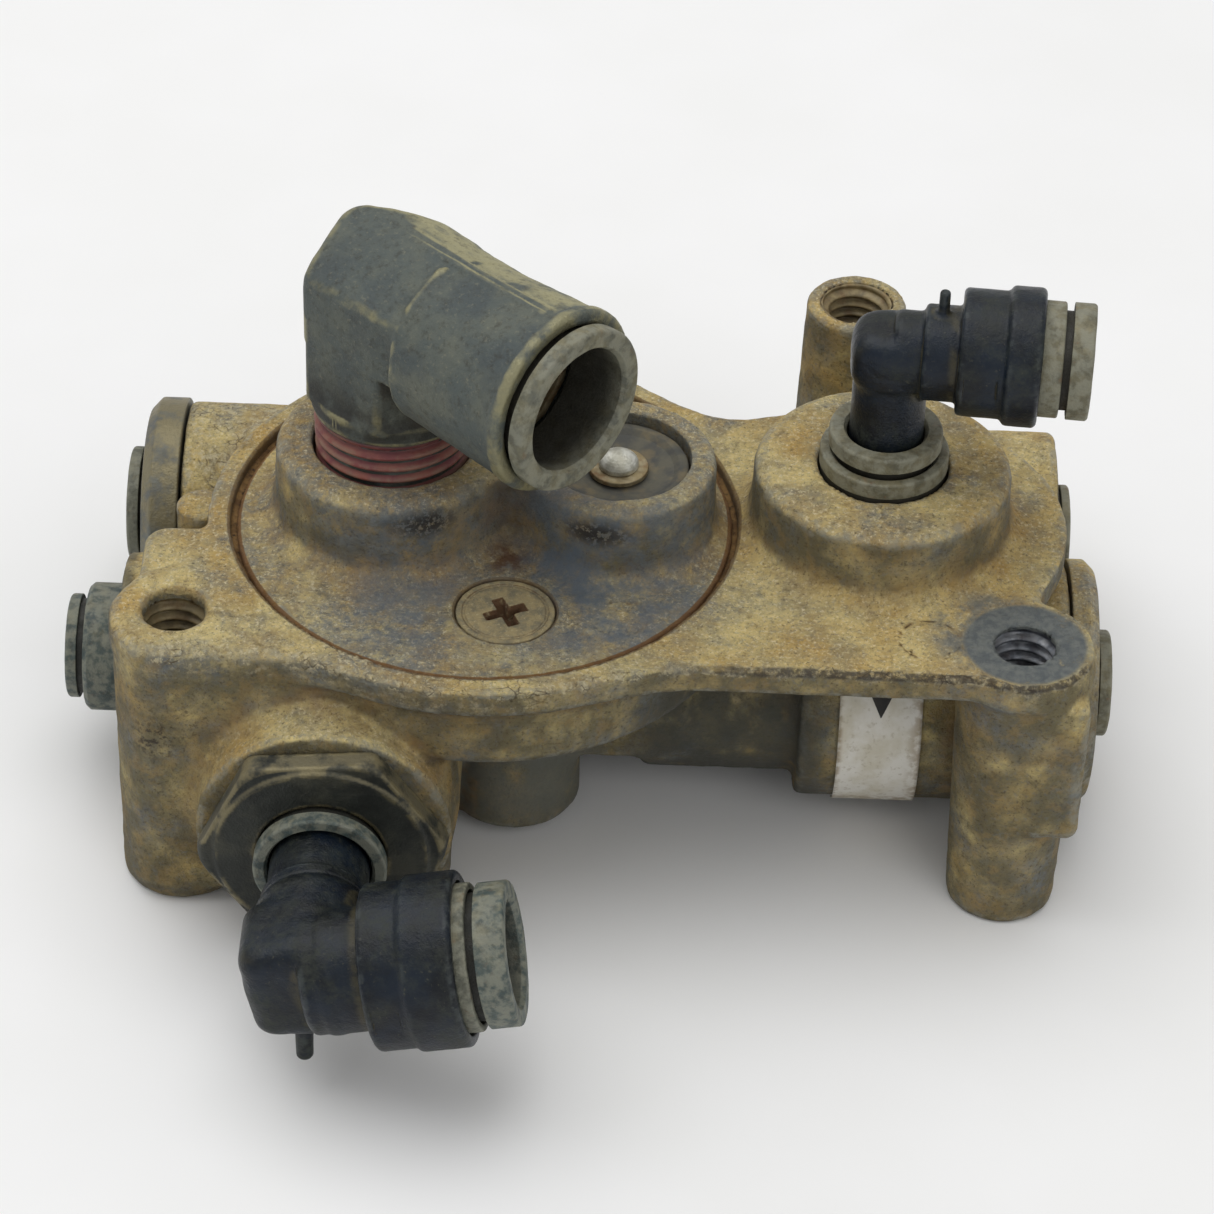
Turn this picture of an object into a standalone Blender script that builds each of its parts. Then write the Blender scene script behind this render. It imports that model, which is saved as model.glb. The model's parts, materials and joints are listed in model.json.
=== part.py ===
"""Compressed-air brake valve: a cast body with push-to-connect ports and plug-in elbows.

Sizes are in millimetres.  The datum is the axis of the round cover where it meets
the body's machined top face: +X runs along the row of bores, +Y towards the free
standing post, +Z up.  ORIGIN moves that datum so that the part stands on its three
posts, with its own origin under the middle of its bounding box.
"""
import math

import bmesh
import bpy
from mathutils import Matrix, Vector

MM = 0.001
GAP = 0.3
MERGE = 0.01

# Outer limits of the assembly, which place the origin
LEFT_END = -55.2
RIGHT_END = 83.4
FRONT_END = -72.9
BACK_END = 61.0
BASE = -42.0
ORIGIN = Vector(((LEFT_END + RIGHT_END) / 2, (FRONT_END + BACK_END) / 2, BASE))

# Plate and cover
PLATE_T = 4.0
PLATE_FRONT = -29.6
PLATE_BACK = 23.3
COVER_BORE_R = 33.0
COVER_R = 32.2
COVER_TOP = -0.8
COVER_BOTTOM = -4.8
FLANGE_R = 36.0
DISH_R = 34.0
DISH_BOTTOM = -14.0
BOSS_TOP = 10.0

# Vertical axes, as (x, y)
SUPPLY = (-12.0, 3.0)
EXHAUST = (17.2, 0.9)
DOME = (51.4, 2.3)
POST_LEFT = (-38.2, -22.1)
POST_RIGHT = (69.4, -22.1)
POST_BACK = (49.5, 52.7)
MOUNT_POSTS = {"left_post": POST_LEFT, "right_post": POST_RIGHT, "back_post": POST_BACK}
GUIDE_BOSS = (4.5, -8.0)
COVER_SCREWS = {"cover_screw_front": (3.5, -18.4), "cover_screw_back": (3.5, 20.5)}

SUPPLY_BOSS_R = 15.4
EXHAUST_BOSS_R = 12.8
DOME_R = 16.8
DOME_TOP = 9.3
MOUNT_HOLE_R = 3.85
MOUNT_HOLE_DEPTH = 20.0

# Horizontal axes
BORE_Z = -24.5
VALVE_Y = 0.0
SHUTTLE_Y = 31.4
FRONT_X = -18.6
FRONT_Z = -24.0

# Tube sizes: outer radii of 3/8, 1/2 and 5/8 inch tube
TUBE_S = 4.765
TUBE_M = 6.35
TUBE_L = 7.94

# Release collets
TRAVEL = 0.8
COLLET_GAP = 1.0
COLLET_WALL = 1.25
COLLET_DEPTH = 6.0
RING_STACK = 5.2

UP = Vector((0, 0, 1))
RIGHT = Vector((1, 0, 0))
FRONT = Vector((0, -1, 0))


# ---------------------------------------------------------------- scene helpers

def clear_scene():
    for item in list(bpy.data.objects):
        bpy.data.objects.remove(item, do_unlink=True)


def new_collection(name):
    group = bpy.data.collections.new(name)
    bpy.context.scene.collection.children.link(group)
    return group


def material(name, colour, roughness, metallic=0.0):
    mat = bpy.data.materials.new(name)
    mat.use_nodes = True
    shader = mat.node_tree.nodes["Principled BSDF"]
    shader.inputs["Base Color"].default_value = (*colour, 1.0)
    shader.inputs["Roughness"].default_value = roughness
    shader.inputs["Metallic"].default_value = metallic
    mat.diffuse_color = (*colour, 1.0)
    return mat


clear_scene()
PARTS = new_collection("multiport_brake_valve")
CUTTERS = new_collection("cutters")

CAST = material("cast_aluminium_dusty", (0.36, 0.30, 0.18), 0.75, 0.2)
COMPOSITE = material("black_composite", (0.02, 0.025, 0.035), 0.45)
COLLET = material("collet_plastic", (0.20, 0.20, 0.15), 0.5)
BRASS = material("tarnished_brass", (0.24, 0.23, 0.17), 0.45, 0.8)
RUBBER = material("seal_rubber", (0.03, 0.03, 0.03), 0.7)
FLAP = material("exhaust_rubber", (0.14, 0.14, 0.12), 0.6)
STEEL = material("zinc_steel", (0.45, 0.42, 0.34), 0.4, 0.9)
SPRING = material("spring_steel", (0.35, 0.35, 0.35), 0.35, 1.0)
ANODISED = material("turned_aluminium", (0.30, 0.32, 0.33), 0.4, 0.9)
PAPER = material("label_film", (0.75, 0.74, 0.68), 0.5)


def frame_at(point, direction=UP):
    """World matrix at a point given from the datum, with local +Z along direction."""
    turn = Vector(direction).to_track_quat("Z", "Y").to_matrix().to_4x4()
    return Matrix.Translation((Vector(point) - ORIGIN) * MM) @ turn


def place(obj, group, mat, matrix):
    obj.matrix_world = matrix
    group.objects.link(obj)
    if group is CUTTERS:
        obj.hide_render = True
        obj.display_type = "WIRE"
    elif mat is not None:
        obj.data.materials.append(mat)
    return obj


# --------------------------------------------------------------- shape helpers

def turned(name, profile, point, direction=UP, mat=None, steps=24, group=None, closed=False):
    """Profile of (radius, height) pairs, outer side top to bottom, turned about local Z."""
    mesh = bpy.data.meshes.new(name)
    verts = [(r * MM, 0.0, h * MM) for r, h in profile]
    edges = [(i, i + 1) for i in range(len(verts) - 1)]
    if closed:
        edges.append((len(verts) - 1, 0))
    mesh.from_pydata(verts, edges, [])
    obj = bpy.data.objects.new(name, mesh)
    place(obj, group or PARTS, mat, frame_at(point, direction))
    screw = obj.modifiers.new("turn", "SCREW")
    screw.steps = steps
    screw.render_steps = steps
    screw.use_merge_vertices = True
    screw.merge_threshold = MERGE * MM
    screw.use_smooth_shade = True
    return obj


def ring(name, inner, outer, low, high, point, direction, mat, steps=24):
    """A plain ring from low to high along the direction."""
    profile = [(outer, high), (outer, low), (inner, low), (inner, high)]
    return turned(name, profile, point, direction, mat, steps, closed=True)


def seal(name, inner, outer, middle, point, direction, steps=14):
    """An O-ring: a four-sided section between two radii, centred at a height."""
    centre = (inner + outer) / 2
    half = (outer - inner) / 2
    angles = [math.radians(90 * k) for k in range(4)]
    profile = [(centre + half * math.cos(a), middle - half * math.sin(a)) for a in angles]
    return turned(name, profile, point, direction, RUBBER, steps, closed=True)


def tool_rod(name, radius, start, end, steps=28, edge=0.0):
    """A solid rod between two points, with an optional chamfer round both ends."""
    start = Vector(start)
    axis = Vector(end) - start
    length = axis.length
    profile = [(0, length), (radius, length), (radius, 0), (0, 0)]
    if edge:
        profile[1:3] = [(radius - edge, length), (radius, length - edge),
                        (radius, edge), (radius - edge, 0)]
    return turned(name, profile, start, axis, None, steps, CUTTERS)


def tool_box(name, low, high):
    mesh = bpy.data.meshes.new(name)
    bm = bmesh.new()
    bmesh.ops.create_cube(bm, size=1.0)
    size = Vector(high) - Vector(low)
    bmesh.ops.scale(bm, vec=size * MM, verts=bm.verts)
    bm.to_mesh(mesh)
    bm.free()
    obj = bpy.data.objects.new(name, mesh)
    return place(obj, CUTTERS, None, frame_at((Vector(low) + Vector(high)) / 2))


def tool_prism(name, sides, across_flats, start, end, spin=0.0):
    """A bar with flat sides between two points, turned about its own axis by spin degrees."""
    start = Vector(start)
    axis = Vector(end) - start
    mesh = bpy.data.meshes.new(name)
    bm = bmesh.new()
    corner = across_flats / 2 / math.cos(math.pi / sides) * MM
    bmesh.ops.create_cone(bm, cap_ends=True, segments=sides, radius1=corner,
                          radius2=corner, depth=axis.length * MM)
    bmesh.ops.rotate(bm, verts=bm.verts, matrix=Matrix.Rotation(math.radians(spin), 3, "Z"))
    bm.to_mesh(mesh)
    bm.free()
    obj = bpy.data.objects.new(name, mesh)
    return place(obj, CUTTERS, None, frame_at(start + axis / 2, axis))


def boolean(obj, tool, operation):
    step = obj.modifiers.new(operation.lower(), "BOOLEAN")
    step.operation = operation
    step.solver = "EXACT"
    step.object = tool


def join(obj, *tools):
    """Unite an object with a whole group of tools in one exact step."""
    group = bpy.data.collections.new(obj.name + "_joined")
    CUTTERS.children.link(group)
    for tool in tools:
        CUTTERS.objects.unlink(tool)
        group.objects.link(tool)
    step = obj.modifiers.new("union", "BOOLEAN")
    step.operation = "UNION"
    step.solver = "EXACT"
    step.operand_type = "COLLECTION"
    step.collection = group


def cut(obj, first, *others):
    """Unite the tools into one, then take it away from the object."""
    if others:
        join(first, *others)
    boolean(obj, first, "DIFFERENCE")


def coil(name, radius, wire, start, end, turns, direction=UP):
    """A compression spring from start to end along the direction."""
    start = Vector(start)
    length = (Vector(end) - start).length
    curve = bpy.data.curves.new(name, "CURVE")
    curve.dimensions = "3D"
    curve.bevel_depth = wire * MM
    curve.bevel_resolution = 0
    curve.use_fill_caps = True
    per_turn = 10
    count = turns * per_turn + 1
    line = curve.splines.new("POLY")
    line.points.add(count - 1)
    for i, point in enumerate(line.points):
        angle = math.tau * i / per_turn
        height = wire + (length - 2 * wire) * i / (count - 1)
        point.co = (radius * math.cos(angle) * MM, radius * math.sin(angle) * MM, height * MM, 1)
    obj = bpy.data.objects.new(name, curve)
    return place(obj, PARTS, SPRING, frame_at(start, direction))


# ---------------------------------------------------------- push-to-connect port

def socket_bore(name, tube, face, direction, stop=4.0, way=10.0):
    """The stepped hole of a port: collet and ring bore, tube stop, then the airway."""
    bore = collet_bore(tube)
    deep = COLLET_DEPTH + RING_STACK
    profile = [(0, 2), (bore, 2), (bore, -deep), (tube + GAP, -deep),
               (tube + GAP, -deep - stop), (tube - 1.2, -deep - stop),
               (tube - 1.2, -deep - stop - way), (0, -deep - stop - way)]
    return turned(name, profile, face, direction, None, 20, CUTTERS)


def collet_bore(tube):
    """Radius of the hole that the collet and its rings sit in."""
    return tube + COLLET_WALL + 0.3 + GAP


def push_fit(name, tube, head_r, head_end, face, direction):
    """Release collet, grab ring and seal of one port, seen from its outer face."""
    inner = tube + 0.3
    sleeve = tube + COLLET_WALL + 0.3
    profile = [(head_r, head_end), (head_r, COLLET_GAP), (sleeve, COLLET_GAP),
               (sleeve, -COLLET_DEPTH), (inner, -COLLET_DEPTH), (inner, head_end)]
    turned(name + "_collet", profile, face, direction, COLLET, 20, closed=True)
    grip = -COLLET_DEPTH - TRAVEL - GAP
    ring(name + "_grab_ring", inner, sleeve, grip - 0.6, grip, face, direction, STEEL, 12)
    seal(name + "_o_ring", inner, sleeve, grip - 2.0, face, direction)


# ------------------------------------------------------------------ cast body

def cast_body():
    body = turned("valve_body",
                  [(0, 0), (FLANGE_R - 1, 0), (FLANGE_R, -1), (FLANGE_R, -PLATE_T),
                   (DISH_R, -PLATE_T - 1), (DISH_R, DISH_BOTTOM), (0, DISH_BOTTOM)],
                  (0, 0, 0), UP, CAST, 32)
    lx, ly = POST_LEFT
    rx, ry = POST_RIGHT
    bx, by = POST_BACK
    dx, dy = DOME
    join(body,
         tool_box("plate_bar", (lx, PLATE_FRONT, -PLATE_T + 0.07), (rx, -10, -0.07)),
         tool_box("plate_middle", (10, -20, -PLATE_T + 0.14), (dx + 6, PLATE_BACK, -0.14)),
         tool_rod("plate_end", 24.6, (dx, dy, -PLATE_T + 0.2), (dx, dy, -0.2), 28),
         tool_box("front_block", (-43.6, PLATE_FRONT - 0.9, -40), (-3, -4, -0.3)),
         tool_rod("left_post", 8.0, (lx, ly, BASE), (lx, ly, -0.05), 16, 0.8),
         tool_rod("right_lobe", 8.8, (rx, ry, -PLATE_T + 0.3), (rx, ry, 0.05), 16, 0.6),
         tool_rod("front_port_boss", 16.3, (FRONT_X, -10, FRONT_Z), (FRONT_X, -36.5, FRONT_Z)),
         tool_rod("left_port_boss", 12.7, (-20, VALVE_Y, BORE_Z), (-47.7, VALVE_Y, BORE_Z)),
         tool_box("left_web", (-34, -10, -34), (-6, 30, -8)),
         tool_rod("pin_boss", 3.4, (-38.3, 12, -24), (-38.3, 12, -9)),
         tool_box("pin_web", (-41.5, -2, -30), (-20, 24, -18)),
         tool_rod("valve_housing", 13.1, (21, VALVE_Y, BORE_Z), (44, VALVE_Y, BORE_Z), 24, 2.0),
         tool_rod("piston_housing", 16.2, (42, VALVE_Y, BORE_Z), (76.9, VALVE_Y, BORE_Z), 24),
         tool_rod("shuttle_housing", 14.4, (-42.4, SHUTTLE_Y, BORE_Z),
                  (77.2, SHUTTLE_Y, BORE_Z), 24),
         tool_rod("relay_housing", 14.0, (*EXHAUST, -30), (*EXHAUST, -10), 20),
         tool_rod("guide_boss", 8.9, (*GUIDE_BOSS, -39.7), (*GUIDE_BOSS, -12), 16, 1.0),
         tool_box("centre_web", (4, 6, -28), (60, 30, -10)),
         turned("dome", [(0, DOME_TOP), (DOME_R - 1, DOME_TOP), (DOME_R, DOME_TOP - 1),
                         (DOME_R, 1.2), (DOME_R + 1, -1), (0, -1)],
                (dx, dy, 0), UP, None, 28, CUTTERS),
         tool_rod("dome_root", 9.0, (dx, dy, -16), (dx, dy, -1)),
         turned("right_post", [(0, -1), (8.3, -1), (8.2, -6), (7.0, BASE + 0.8), (6.2, BASE),
                               (0, BASE)], (rx, ry, 0), UP, None, 16, CUTTERS),
         turned("back_post", [(0, -1), (6.2, -1), (6.9, -1.7), (8.3, BASE + 0.8), (7.5, BASE),
                              (0, BASE)], (bx, by, 0), UP, None, 16, CUTTERS),
         tool_box("back_web", (bx - 5, SHUTTLE_Y + 6, -38), (bx + 5, by, -14)))
    airways(body)


def airways(body):
    """Every hole in the casting: recesses, bores, drillings and threaded holes."""
    dx, dy = DOME
    holes = [tool_rod(tag + "_mount_hole", MOUNT_HOLE_R, (x, y, -MOUNT_HOLE_DEPTH), (x, y, 2), 16)
             for tag, (x, y) in MOUNT_POSTS.items()]
    holes += [tool_rod(tag + "_hole", 2.9, (x, y, -12.5), (x, y, -3), 12)
              for tag, (x, y) in COVER_SCREWS.items()]
    cut(body, *holes,
        tool_rod("cover_recess", COVER_BORE_R, (0, 0, COVER_BOTTOM - GAP), (0, 0, 2), 32),
        tool_rod("relay_bore", 11.6, (*EXHAUST, -27), (*EXHAUST, -2), 28),
        tool_rod("supply_well", 9.0, (*SUPPLY, -11), (*SUPPLY, -2), 20),
        tool_rod("supply_drill", 3.2, (-8, 3, -9), (10, 3, -9), 12),
        tool_rod("guide_drill", 4.5, (*GUIDE_BOSS, -34), (*GUIDE_BOSS, -2), 16),
        tool_rod("front_thread", 11.2, (FRONT_X, -22, FRONT_Z), (FRONT_X, -40, FRONT_Z), 20),
        tool_rod("front_way", 6.6, (FRONT_X, 4, FRONT_Z), (FRONT_X, -23, FRONT_Z), 16),
        tool_rod("left_socket", 8.85, (-36, VALVE_Y, BORE_Z), (-50, VALVE_Y, BORE_Z), 20),
        tool_rod("left_way", 3.6, (-20, VALVE_Y, BORE_Z), (-37, VALVE_Y, BORE_Z), 12),
        tool_rod("left_rise", 3.0, (FRONT_X, 0, FRONT_Z), (FRONT_X, 0, -3), 12),
        tool_rod("piston_bore", 13.2, (46, VALVE_Y, BORE_Z), (80, VALVE_Y, BORE_Z), 32),
        tool_rod("step_bore", 9.6, (33, VALVE_Y, BORE_Z), (47, VALVE_Y, BORE_Z), 24),
        tool_rod("step_way", 3.0, (22, VALVE_Y, BORE_Z), (34, VALVE_Y, BORE_Z), 12),
        tool_rod("dome_socket", 8.5, (dx, dy, -5), (dx, dy, 12), 20),
        tool_rod("dome_way", 5.6, (dx, dy, -20), (dx, dy, -4), 16),
        tool_rod("shuttle_bore", 6.6, (-35, SHUTTLE_Y, BORE_Z), (64, SHUTTLE_Y, BORE_Z), 20),
        tool_rod("shuttle_left", 10.6, (-28, SHUTTLE_Y, BORE_Z), (-45, SHUTTLE_Y, BORE_Z), 20),
        tool_rod("shuttle_right", 8.85, (60, SHUTTLE_Y, BORE_Z), (80, SHUTTLE_Y, BORE_Z), 20),
        tool_rod("shuttle_drill", 3.0, (15, 6, -20), (15, SHUTTLE_Y, BORE_Z), 12))


# ----------------------------------------------------------------------- cover

def cover():
    plate = turned("cover_plate",
                   [(0, COVER_TOP), (COVER_R - 0.5, COVER_TOP), (COVER_R, COVER_TOP - 0.5),
                    (COVER_R, -2.0), (COVER_R - 1.9, -2.0), (COVER_R - 1.9, COVER_BOTTOM),
                    (0, COVER_BOTTOM)], (0, 0, 0), UP, CAST, 32)
    join(plate,
         turned("supply_boss", [(0, BOSS_TOP), (SUPPLY_BOSS_R - 1.5, BOSS_TOP),
                                (SUPPLY_BOSS_R, BOSS_TOP - 1.5), (SUPPLY_BOSS_R, -3), (0, -3)],
                (*SUPPLY, 0), UP, None, 24, CUTTERS),
         turned("exhaust_boss", [(0, BOSS_TOP), (EXHAUST_BOSS_R - 1.2, BOSS_TOP),
                                 (EXHAUST_BOSS_R, BOSS_TOP - 1.2), (EXHAUST_BOSS_R, -3.1),
                                 (0, -3.1)],
                (*EXHAUST, 0), UP, None, 24, CUTTERS))
    holes = [turned(tag + "_sink", [(0, 1), (6.6, 1), (6.6, COVER_TOP - 0.6),
                                    (3.1, COVER_TOP - 3.0), (3.1, -7), (0, -7)],
                    (x, y, 0), UP, None, 16, CUTTERS) for tag, (x, y) in COVER_SCREWS.items()]
    for k in range(4):
        angle = math.radians(45 + 90 * k)
        x = EXHAUST[0] + 3.2 * math.cos(angle)
        y = EXHAUST[1] + 3.2 * math.sin(angle)
        holes.append(tool_rod("exhaust_hole_%d" % k, 1.2, (x, y, 3), (x, y, 7), 10))
    cut(plate, *holes,
        tool_rod("supply_thread", 10.5, (*SUPPLY, -0.5), (*SUPPLY, BOSS_TOP + 2), 24),
        tool_rod("supply_way", 8.0, (*SUPPLY, -6), (*SUPPLY, 0), 20),
        tool_rod("exhaust_recess", 9.4, (*EXHAUST, 6.0), (*EXHAUST, BOSS_TOP + 2), 24),
        tool_rod("exhaust_bore", 4.7, (*EXHAUST, -6), (*EXHAUST, 4.4), 20),
        tool_rod("rivet_hole", 1.6, (*EXHAUST, 4), (*EXHAUST, 7), 10))
    seal("cover_o_ring", COVER_R - 1.6, COVER_R + 0.4, -3.5, (0, 0, 0), UP, 32)
    for name, (x, y) in COVER_SCREWS.items():
        countersunk_screw(name, x, y)


def countersunk_screw(name, x, y):
    """1/4 inch screw with a cross recess, its head just under the cover's face."""
    top = COVER_TOP - 0.15
    screw = turned(name, [(0, top), (6.3, top), (6.3, top - 0.45), (2.8, top - 2.7),
                          (2.6, -12.0), (0, -12.0)], (x, y, 0), UP, STEEL, 16)
    arms = []
    for k in range(2):
        arm = tool_box("%s_slot_%d" % (name, k), (-2.4, -0.45, -1.6), (2.4, 0.45, 1.0))
        turn = Matrix.Rotation(math.radians(25 + 90 * k), 4, "Z")
        arm.matrix_world = frame_at((x, y, top)) @ turn
        arms.append(arm)
    cut(screw, *arms)


def exhaust_flap():
    """Rubber flap over the exhaust holes, held by a washer and a domed rivet."""
    here = (*EXHAUST, 0)
    turned("exhaust_flap", [(9.1, 8.4), (9.1, 7.6), (8.0, 6.9), (5.0, 6.3), (1.8, 6.3),
                            (1.8, 7.3), (5.0, 7.3), (8.0, 8.0)],
           here, UP, FLAP, 24, closed=True)
    ring("exhaust_washer", 1.8, 3.8, 7.6, 8.4, here, UP, STEEL, 24)
    turned("exhaust_rivet", [(0, 10.4), (1.2, 10.2), (2.2, 9.6), (2.6, 8.7), (1.4, 8.7),
                             (1.4, 3.2), (0, 3.2)], here, UP, ANODISED, 20)


# ---------------------------------------------------------------- supply elbow

ELBOW_AXIS_Z = 30.6
ELBOW_REACH = 29.0
ELBOW_YAW = -40.5


def supply_elbow():
    """Forged brass elbow: taper thread below, 5/8 inch push-to-connect socket."""
    x, y = SUPPLY
    yaw = math.radians(ELBOW_YAW)
    out = Vector((math.cos(yaw), math.sin(yaw), 0))
    corner = Vector((x, y, ELBOW_AXIS_Z))
    face = corner + out * ELBOW_REACH
    elbow = turned("supply_elbow", [(0, 24), (11.6, 24), (11.6, 18), (10.6, 16.8), (10.2, 16.8),
                                    (9.9, 0.4), (0, 0.4)],
                   (x, y, 0), UP, BRASS, 20)
    join(elbow,
         tool_prism("elbow_riser", 8, 22.8, (x, y, 20), (x, y, 37), ELBOW_YAW + 22.5),
         tool_prism("elbow_barrel", 8, 23.6, corner - out * 6, face - out * 4, 22.5),
         tool_rod("elbow_nose", 12.6, face - out * 14, face, 24, 0.8))
    cut(elbow,
        socket_bore("supply_socket", TUBE_L, face, out, 2.0, 4.0),
        tool_rod("supply_down", 6.6, (x, y, 0), corner + UP * 4, 16),
        tool_rod("supply_across", 6.6, corner - out * 3, face - out * 12, 16))
    push_fit("supply", TUBE_L, 10.9, 3.0, face, out)


# -------------------------------------------------------------- plug-in elbows

def plug_in_elbow(name, tube, corner, stem, out, sizes):
    """Composite elbow on a plain stem.  sizes gives its ribs along the outlet."""
    neck, shoulder, body_r, rib_r, collar_r = sizes["radii"]
    body_end, rib_end, collar_end = sizes["ends"]
    reach = sizes["stem_length"]
    back = -Vector(stem)
    elbow = turned(name, [(0, reach), (tube - 0.25, reach), (tube, reach - 0.6),
                          (tube, shoulder), (neck, shoulder - 0.6), (neck, 0), (0, 0)],
                   corner, stem, COMPOSITE, 20)
    join(elbow,
         tool_rod(name + "_knee", neck + 0.4, corner + back * (neck * 0.6),
                  corner - back * neck, 20, 1.6),
         turned(name + "_outlet", [(0, collar_end), (collar_r, collar_end), (collar_r, rib_end),
                                   (rib_r, rib_end), (rib_r, body_end), (body_r, body_end),
                                   (body_r, -2), (0, -2)],
                corner, out, None, 20, CUTTERS))
    bore = collet_bore(tube)
    sleeve_end = sizes["sleeve_end"]
    wall = sizes["sleeve_r"]
    deep = collar_end - COLLET_DEPTH - RING_STACK + 2.4
    cut(elbow,
        turned(name + "_socket", [(0, collar_end + 2), (wall + GAP, collar_end + 2),
                                  (wall + GAP, collar_end - 3.5), (bore, collar_end - 3.5),
                                  (bore, deep), (tube + GAP, deep), (tube + GAP, deep - 3),
                                  (tube - 1.6, deep - 3), (tube - 1.6, -1), (0, -1)],
               corner, out, None, 20, CUTTERS),
        tool_rod(name + "_down", tube - 1.6, corner + back, corner - back * (reach + 2), 12))
    face = corner + out * collar_end
    ring(name + "_sleeve", bore, wall, -3.2, sleeve_end - collar_end, face, out, COLLET, 20)
    mouth = corner + out * sleeve_end
    push_fit(name, tube, sizes["collet_r"], sizes["collet_end"] - sleeve_end, mouth, out)


def service_elbow():
    """3/8 inch elbow that stands in the dome's port."""
    yaw = math.radians(-5)
    out = Vector((math.cos(yaw), math.sin(yaw), 0))
    plug_in_elbow("service_elbow", TUBE_S, Vector((*DOME, 27.9)), -UP, out, {
        "radii": (5.2, 11.2, 6.6, 8.15, 8.9),
        "ends": (8.6, 14.5, 19.0),
        "stem_length": 32.0,
        "sleeve_r": 7.4,
        "sleeve_end": 21.4,
        "collet_r": 7.45,
        "collet_end": 25.2})


def delivery_elbow():
    """1/2 inch elbow that stands out of the front adapter."""
    tilt = math.radians(11)
    out = Vector((math.cos(tilt), 0, math.sin(tilt)))
    corner = Vector((FRONT_X, -62.0, FRONT_Z))
    plug_in_elbow("delivery_elbow", TUBE_M, corner, -FRONT, out, {
        "radii": (7.6, 16.2, 8.6, 10.35, 10.9),
        "ends": (8.0, 13.1, 19.8),
        "stem_length": 33.0,
        "sleeve_r": 9.2,
        "sleeve_end": 21.2,
        "collet_r": 9.0,
        "collet_end": 26.0})


# ------------------------------------------------------------- ports in the body

def dome_port():
    x, y = DOME
    face = Vector((x, y, 11.8))
    bore = collet_bore(TUBE_S)
    turned("dome_sleeve", [(8.35, 11.8), (8.35, 9.6), (8.2, 9.6), (8.2, -4.7), (bore, -4.7),
                           (bore, 11.8)], (x, y, 0), UP, COLLET, 20, closed=True)
    push_fit("dome", TUBE_S, 7.33, 3.2, face, UP)


def front_port():
    """Hex adapter screwed into the front boss, with its own face seal."""
    face = Vector((FRONT_X, -40.5, FRONT_Z))
    adapter = turned("front_adapter", [(0, 0), (13.9, 0), (13.9, -2), (10.9, -4.0),
                                       (10.9, -18.0), (0, -18.0)],
                     face, FRONT, ANODISED, 20)
    join(adapter, tool_prism("adapter_hex", 6, 28.4, face + FRONT * -0.4,
                             face + FRONT * -3.7, 5))
    cut(adapter, socket_bore("front_socket", TUBE_M, face, FRONT, 4.0, 8.0))
    push_fit("front", TUBE_M, 8.5, 3.0, face, FRONT)


def left_port():
    """3/8 inch cartridge in the body's left boss."""
    face = Vector((-52.7, VALVE_Y, BORE_Z))
    out = -RIGHT
    bore = collet_bore(TUBE_S)
    turned("left_sleeve", [(8.0, 0), (8.55, -0.5), (8.55, -16.4), (bore, -16.4), (bore, 0)],
           face, out, COLLET, 20, closed=True)
    push_fit("left", TUBE_S, 6.95, 2.5, face, out)


def shuttle_ports():
    """Adapter at the left end and cartridge at the right end of the shuttle bore."""
    face = Vector((-47.8, SHUTTLE_Y, BORE_Z))
    adapter = turned("shuttle_adapter", [(0, 0), (13.9, 0), (14.9, -1), (14.9, -5.1),
                                         (10.3, -5.1), (10.3, -19), (0, -19)],
                     face, -RIGHT, ANODISED, 24)
    cut(adapter, socket_bore("shuttle_left_socket", TUBE_S, face, -RIGHT, 4.0, 8.0))
    push_fit("shuttle_left", TUBE_S, 7.9, 2.6, face, -RIGHT)
    face = Vector((77.2, SHUTTLE_Y, BORE_Z))
    bore = collet_bore(TUBE_S)
    ring("shuttle_right_sleeve", bore, 8.55, -16.8, 0.2, face, RIGHT, COLLET, 20)
    push_fit("shuttle_right", TUBE_S, 7.2, 2.2, face + RIGHT * 0.2, RIGHT)


def end_port():
    """Screwed end cap that closes the piston bore and carries a 3/8 inch port."""
    face = Vector((80.8, VALVE_Y, BORE_Z))
    cap = turned("end_cap", [(0, 0), (15.4, 0), (16.4, -1), (16.4, -3.6), (12.9, -3.6),
                             (12.9, -10), (9.6, -10), (9.6, -17), (0, -17)],
                 face, RIGHT, CAST, 24)
    cut(cap, socket_bore("end_socket", TUBE_S, face, RIGHT, 3.0, 8.0))
    push_fit("end", TUBE_S, 7.1, 2.6, face, RIGHT)


# -------------------------------------------------------------------- internals

def relay_valve():
    """Relay piston and its inlet/exhaust valve, on the exhaust's axis."""
    here = (*EXHAUST, 0)
    turned("relay_piston", [(0, -13), (3.0, -13), (3.0, -18), (11.2, -18), (11.2, -19.4),
                            (9.7, -19.4), (9.7, -21.6), (11.2, -21.6), (11.2, -23), (4, -23),
                            (4, -26.6), (0, -26.6)], here, UP, ANODISED, 20)
    seal("relay_piston_seal", 10.0, 11.45, -20.5, here, UP, 20)
    turned("exhaust_valve", [(0, 2.0), (3.9, 2.0), (4.3, 1.0), (4.3, -5.2), (8.0, -5.2),
                             (8.0, -8.2), (0, -8.2)], here, UP, BRASS, 20)
    coil("relay_spring", 6.2, 0.6, (*EXHAUST, -17.6), (*EXHAUST, -8.5), 4)


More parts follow.
